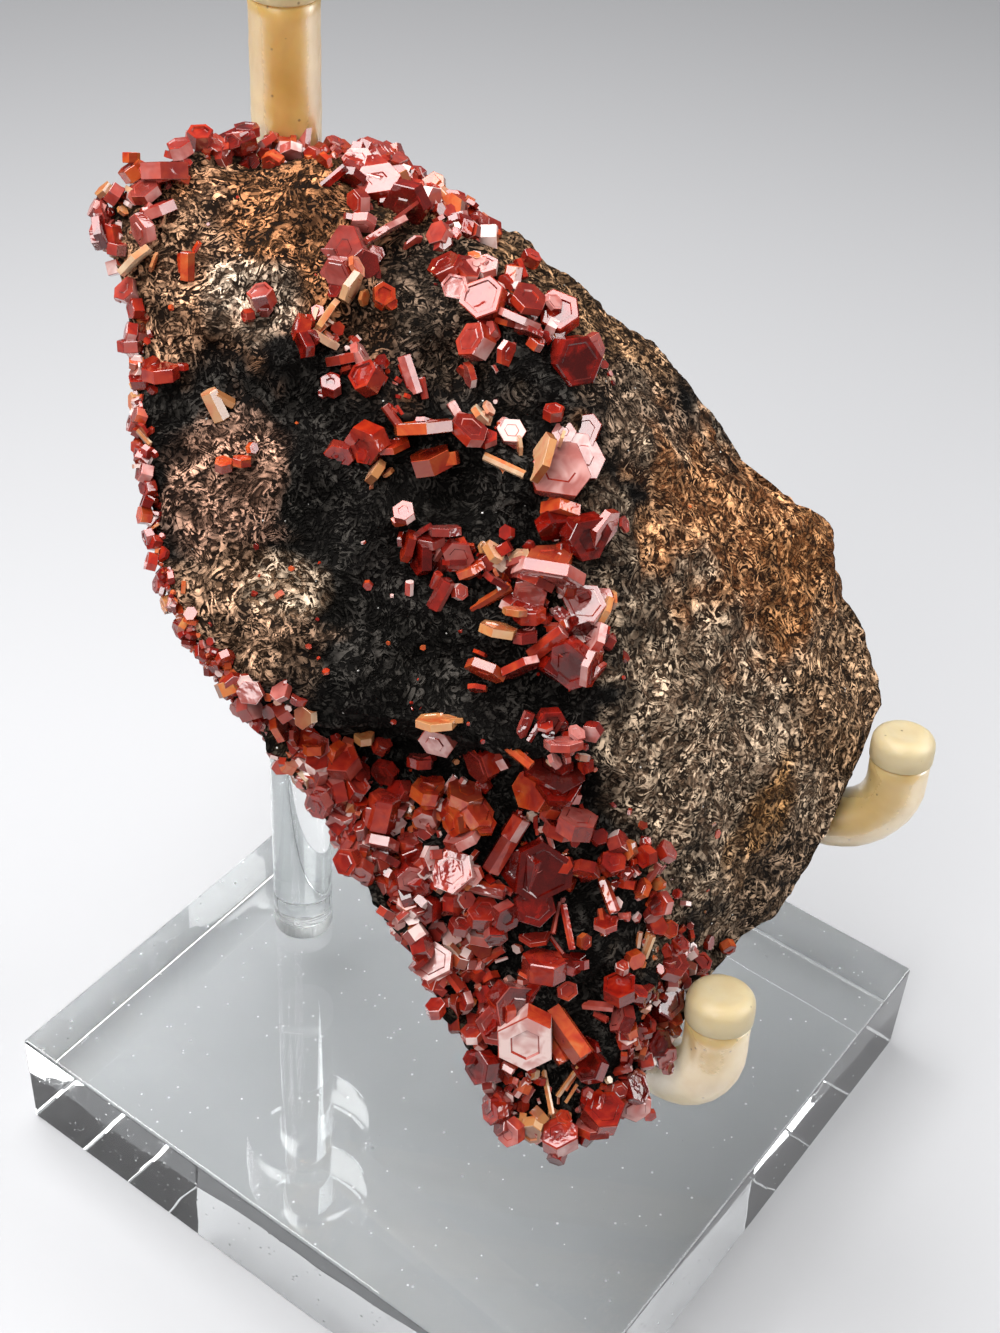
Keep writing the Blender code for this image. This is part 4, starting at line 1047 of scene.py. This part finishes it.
    (-12.5, -13, 3.2, 1.4, 50, 230, "deep"),
    # The lower part of the wedge, down to the tip.
    (-5.5, -35.5, 4.5, 1.7, 24, 120, "white"), (-8, -29, 2.4, 1.2, 40, 60, "white"),
    (-6.5, -29, 3.1, 1.7, 40, 200, "deep"), (0, -29, 3.8, 1.9, 45, 90, "pink"),
    (2.5, -29, 3.5, 1.6, 40, 330, "dusky"), (0, -32, 4, 1.2, 70, 88, "white"),
    (1, -34.5, 1.1, 4.1, 78, 33, "white"), (-3.5, -37, 1.4, 4.5, 76, 312, "pink"),
    (7.5, -35, 5.5, 2.6, 70, 90, "red"), (7.5, -34.5, 5.2, 0.8, 78, 90, "white"),
    (10.5, -34.5, 3.1, 1.4, 60, 80, "deep"), (4, -40, 6.2, 2.6, 38, 340, "dusky"),
    (3, -41, 5.3, 1.2, 66, 190, "red"), (6, -44, 7.4, 3.1, 24, 265, "white"),
    (10.5, -43, 3.1, 8, 76, 310, "orange"), (10.5, -38, 2.5, 1, 10, 0, "white"),
    (10, -30, 0.9, 5.4, 80, 285, "pink"), (12, -31.5, 1.9, 0.9, 40, 0, "orange"),
    (14, -47.5, 4.1, 2.2, 36, 150, "deep"), (-5, -41, 2.4, 1.7, 50, 100, "pink"),
    (-0.5, -44, 2.9, 1.2, 60, 100, "white"), (1, -48, 4.1, 1.9, 48, 180, "deep"),
    (3, -47.5, 1.1, 4.1, 78, 335, "white"), (6, -50.5, 1.2, 2.7, 70, 60, "white"),
    (9, -50.5, 0.7, 6.3, 82, 285, "tan"), (11.5, -49.5, 0.7, 4.6, 80, 60, "tan"),
    (18.5, -21, 2.8, 1.4, 50, 200, "red"), (21, -20.5, 2.6, 1.2, 60, 40, "dusky"),
    (19.5, -23.5, 0.9, 3.5, 76, 60, "pink"), (21, -27, 3.4, 1.4, 42, 185, "pink"),
    (18.5, -25, 2.4, 0.9, 60, 160, "orange"), (22.5, -30.5, 2.2, 1.5, 20, 0, "orange"),
    (20, -32.5, 1, 3.1, 75, 75, "cream"), (23.5, -35, 4.2, 1.7, 45, 60, "pink"),
    (17, -35, 1.7, 1.4, 40, 90, "white"), (17, -37.5, 4.1, 2.2, 44, 100, "red"),
    (20, -38.5, 2.9, 1.7, 60, 340, "deep"), (23, -40.5, 4.5, 3.2, 40, 30, "deep"),
    (14.5, -40, 1.2, 3.9, 78, 0, "pink"), (17.5, -41.5, 3.9, 1.7, 66, 165, "dusky"),
    (28, -36, 2.8, 1.5, 50, 60, "red"), (32, -34.5, 2.1, 1.3, 50, 300, "orange"),
    (22.5, -45.5, 3.7, 2, 40, 0, "deep"), (24, -47.5, 3.3, 1.8, 45, 320, "dusky"),
    (24.5, -43, 2.5, 1.5, 50, 60, "orange"), (16, -53.5, 5.2, 2.7, 42, 80, "red"),
    (20.5, -54, 4, 2, 25, 300, "pink"), (20, -51, 4, 2, 50, 30, "deep"),
    (18, -51, 2.2, 1.5, 20, 0, "white"), (18, -48.5, 1.1, 3, 76, 22, "white"),
    (15, -55.5, 4.7, 1.1, 76, 90, "pink"), (11, -56.5, 4.4, 2.9, 40, 100, "pink"),
    (11, -54.5, 2.7, 1.5, 40, 90, "cream"), (11, -59, 2.2, 2, 55, 250, "deep"),
    (14.5, -57, 3, 1.2, 60, 330, "deep"), (5, -56, 3.4, 1.7, 35, 200, "pink"),
    (2.5, -53.5, 3.1, 1.7, 50, 190, "red"), (7.5, -55.5, 3.2, 1.7, 40, 250, "tan"),
)


def axis_of(lean, bearing):
    """Unit axes from their lean from Z and the bearing of that lean, in degrees."""
    lean, bearing = np.radians(lean), np.radians(bearing)
    return np.stack([np.sin(lean) * np.cos(bearing), np.sin(lean) * np.sin(bearing),
                     np.cos(lean)], axis=-1)


skin_tree = BVHTree.FromPolygons(stone_points.tolist(), stone_faces.tolist())
WELL_ABOVE = 90.0


def skin_under(x, y):
    """The stone's skin straight below a point of its frame.

    A point beyond the rim is moved halfway to the nearest skin and takes its height.
    """
    spot = skin_tree.ray_cast(Vector((x, y, WELL_ABOVE)), Vector((0, 0, -1)))[0]
    if spot is None:
        guess = rim_at(math.atan2(y - STONE_CENTRE[1], x - STONE_CENTRE[0]))[1]
        spot = skin_tree.find_nearest(Vector((x, y, guess)))[0]
        x, y = 0.5 * (x + spot[0]), 0.5 * (y + spot[1])
    return x, y, spot[2]


x, y, width, length, lean, bearing = np.array([row[:6] for row in LARGE], dtype=float).T
kind = np.array([KINDS[row[6]] for row in LARGE])
axes = axis_of(lean, bearing)
middles = np.array([skin_under(*spot) for spot in zip(x, y)])
# A crystal's middle stands above the skin by a little over half its own reach that way, so
# the rest of it is rooted in the stone.
LEAST_RISE = 0.2
rise = 0.27 * width * np.sin(np.radians(lean)) + 0.30 * length * np.cos(np.radians(lean))
middles[:, 2] += rise + LEAST_RISE
pick = np.random.default_rng(41)
# Each large plate has companions grown through it: smaller, a little turned, and set off.
COMPANIONS, LEAST_HOST, FULLER = 2, 2.4, 1.02
again = np.repeat(np.arange(len(x)), COMPANIONS)
big = np.maximum(width, length)[again] > LEAST_HOST
again = again[big]
offset = pick.normal(0, 0.30, (len(again), 3)) * np.maximum(width, length)[again, None]
offset[:, 2] = -np.abs(offset[:, 2]) * 0.8
leaning = axes[again] + pick.normal(0, 0.26, (len(again), 3))
leaning /= np.linalg.norm(leaning, axis=1, keepdims=True)
shrink = pick.uniform(0.35, 0.75, len(again))
all_middles = np.concatenate([middles, middles[again] + offset])
all_axes = np.concatenate([axes, leaning])
all_widths = np.concatenate([width, width[again] * shrink])
all_lengths = np.concatenate([length, length[again] * shrink])
near_kind = kind[again] * [0.9, 0.75] + pick.normal(0, 0.06, (len(again), 2))
all_kinds = np.concatenate([kind, near_kind])
points, faces, near = crystals(all_middles, all_axes, all_widths * FULLER, all_lengths, pick, True)
tone, sheen = np.repeat(np.clip(all_kinds, 0, 1), len(points) // len(all_kinds), axis=0).T


def vanadinite():
    """Translucent red to orange-brown lead vanadate: glassy faces, edges painted lighter, zoning.

    Colour runs from deep red through red and orange to tan by the crystal's tone and a cloudy
    zoning, and is painted brighter towards the edges as light showing through thin crystal.
    Each flat face is painted lighter or deeper by the way it faces: a painted glint or a painted
    shade. A pale sheen veils the crystals that have one, some faces more than others: in part a
    frosted bloom, in part a painted reflection of the lights.
    """
    made, tree, shader = new_finish("vanadinite")
    place = object_place(tree)
    tone, sheen, near = (mark_of(tree, name) for name in ("tone", "sheen", "near_edge"))
    zoning = spread(tree, noise(tree, place, 520.0, 3.0, 0.8), 0.3, 0.7, -0.16, 0.16)
    facing = node(tree, "NewGeometry").outputs["True Normal"]
    facet = node(tree, "SeparateColor",
                 {0: node(tree, "TexVoronoi", {"Vector": facing, "Scale": 5.0}).outputs["Color"]})
    # Edges are painted lighter and warmer, as light showing through thin crystal.
    warm = calc(tree, "ADD", calc(tree, "ADD", tone, zoning), product(tree, near, 0.13))
    ramp = node(tree, "ValToRGB", {"Fac": warm})
    stops = ramp.color_ramp.elements
    stops[0].position, stops[0].color = 0.10, (0.06, 0.002, 0.001, 1)
    stops[1].position, stops[1].color = 1.0, (0.60, 0.25, 0.08, 1)
    for place_on, colour in ((0.38, (0.29, 0.009, 0.004)), (0.58, (0.48, 0.034, 0.008)),
                             (0.76, (0.60, 0.095, 0.016))):
        stops.new(place_on).color = (*colour, 1)
    # The pale sheen is in part a frosted bloom and in part a painted reflection of the lights.
    veil_map = spread(tree, noise(tree, place, 420.0, 2.0, 0.5), 0.35, 0.65, 0.60, 1.0)
    # Painted glint: some faces, by the way they face, take far more of the pale sheen.
    face_glint = spread(tree, facet.outputs[0], 0.35, 0.85, 0.16, 1.9)
    sheen_and_bloom = calc(tree, "MULTIPLY", product(tree, sheen, veil_map), face_glint, clamp=True)
    rosy = blend(tree, calc(tree, "POWER", sheen_and_bloom, 2.0), (0.60, 0.145, 0.115), (0.92, 0.68, 0.63))
    pale = blend(tree, spread(tree, tone, 0.55, 0.82), rosy, (0.84, 0.64, 0.42))
    # Painted shade: other faces, by the way they face, are darkened towards deep maroon.
    face_shade = spread(tree, facet.outputs[1], 0.25, 0.60, 0.65, 0.0)
    colour = blend(tree, face_shade, ramp.outputs["Color"], (0.075, 0.003, 0.002))
    colour = blend(tree, sheen_and_bloom, colour, pale)
    growth = noise(tree, place, 700.0, 2.0, 0.3)
    fill(tree, shader, {"Base Color": colour, "IOR": 1.65, "Transmission Weight": 0.35,
                        "Roughness": spread(tree, sheen_and_bloom, 0.0, 1.0, 0.05, 0.20),
                        "Normal": bumped(tree, growth, 0.15, 0.0003)})
    return made


VANADINITE = vanadinite()
large = solid_of("large_crystals", on_stand(points), faces, VANADINITE, smooth=False,
                 tone=tone, sheen=sheen, near_edge=near)
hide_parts(*[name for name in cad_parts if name.startswith("crystals_")])


# Druses: crusts of small vanadinite crystals grown along the stone's edges and ledges. Each
# row: a route over the front in X and Y, the spread either side, the number of crystals, their
# smallest and largest width, in mm, and the share of pale and of orange ones.
DRUSES = (
    (((-49, 43), (-49, 49), (-43, 56), (-38.5, 59), (-30, 61), (-23, 60), (-14, 56), (-8, 51)),
     2.6, 300, 0.9, 3.2, 0.5, 0.2),
    (((-45, 38), (-43, 33), (-42, 26), (-42, 19), (-39.5, 11), (-37.5, 5), (-34, 0), (-31, -3)),
     1.5, 320, 0.6, 2.1, 0.35, 0.35),
    (((-27, -8), (-22, -13), (-17, -20), (-12, -27), (-7, -38), (-2, -45), (3, -54), (10, -58)),
     3.6, 640, 0.8, 3.2, 0.55, 0.12),
    (((-8, -20), (-4, -28), (-1, -34), (2, -41), (6, -50)), 3.6, 400, 0.8, 2.9, 0.6, 0.10),
    (((-3, 12), (3, 11), (10, 3)), 2.2, 60, 0.7, 2.2, 0.3, 0.3),
    (((8, -9), (7, -24)), 2.2, 70, 0.7, 2.4, 0.3, 0.2),
    (((15, -22), (19, -27), (23, -36), (21, -45), (16, -54)), 2.8, 175, 0.8, 2.8, 0.35, 0.2),
    (((-9, 43), (0, 41), (8, 35)), 1.8, 60, 0.7, 2.2, 0.35, 0.2),
    (((-20, 34), (-14, 30)), 2.4, 24, 0.6, 1.8, 0.3, 0.2),
    (((-40, 40), (0, 20), (-25, 0), (10, -8), (24, -30)), 14.0, 110, 0.4, 1.2, 0.25, 0.4),
)


def route_gap(x, y, route):
    """Distance of points from a route of straight runs, all runs at once."""
    ends = np.array(route, dtype=float)
    start, run = ends[:-1], np.diff(ends, axis=0)
    off = np.stack([x, y], axis=1)[:, None] - start
    share = np.clip((off * run).sum(axis=2) / (run * run).sum(axis=1), 0, 1)
    return np.linalg.norm(off - share[..., None] * run, axis=2).min(axis=1)


skin_normals = normals_of(stone_points, stone_faces)
pick = np.random.default_rng(73)
grown = []
for route, wide, count, small, largest, pale, warm in DRUSES:
    chance = np.exp(-(route_gap(stone_points[:, 0], stone_points[:, 1], route) / wide) ** 2)
    chance *= smooth_step(-0.75, -0.2, skin_normals[:, 2])
    spots = pick.choice(len(stone_points), count, p=chance / chance.sum())
    size = small + (largest - small) * pick.random(count) ** 2.2
    level = pick.normal(0.34, 0.10, count) + np.where(pick.random(count) < warm, 0.3, 0.0)
    # Some crystals take a pale sheen: a frosted bloom and a painted reflection.
    sheen_and_bloom = np.where(pick.random(count) < pale, pick.uniform(0.4, 1.2, count), 0.08)
    leaning = skin_normals[spots] * 0.55 + pick.normal(0, 0.6, (count, 3))
    grown.append(np.column_stack([stone_points[spots] + pick.normal(0, 0.2, (count, 3))
                                  + skin_normals[spots] * (size * 0.22)[:, None],
                                  leaning, size, size * pick.uniform(0.22, 0.65, count),
                                  np.clip(level, 0, 1), sheen_and_bloom]))
grown = np.concatenate(grown)
leaning = grown[:, 3:6] / np.linalg.norm(grown[:, 3:6], axis=1, keepdims=True)
points, faces, near = crystals(grown[:, :3], leaning, grown[:, 6], grown[:, 7], pick, False)
tone, sheen = np.repeat(grown[:, 8:], len(points) // len(grown), axis=0).T
druse = solid_of("druse_crystals", on_stand(points), faces, VANADINITE, smooth=False,
                 tone=tone, sheen=sheen, near_edge=near)
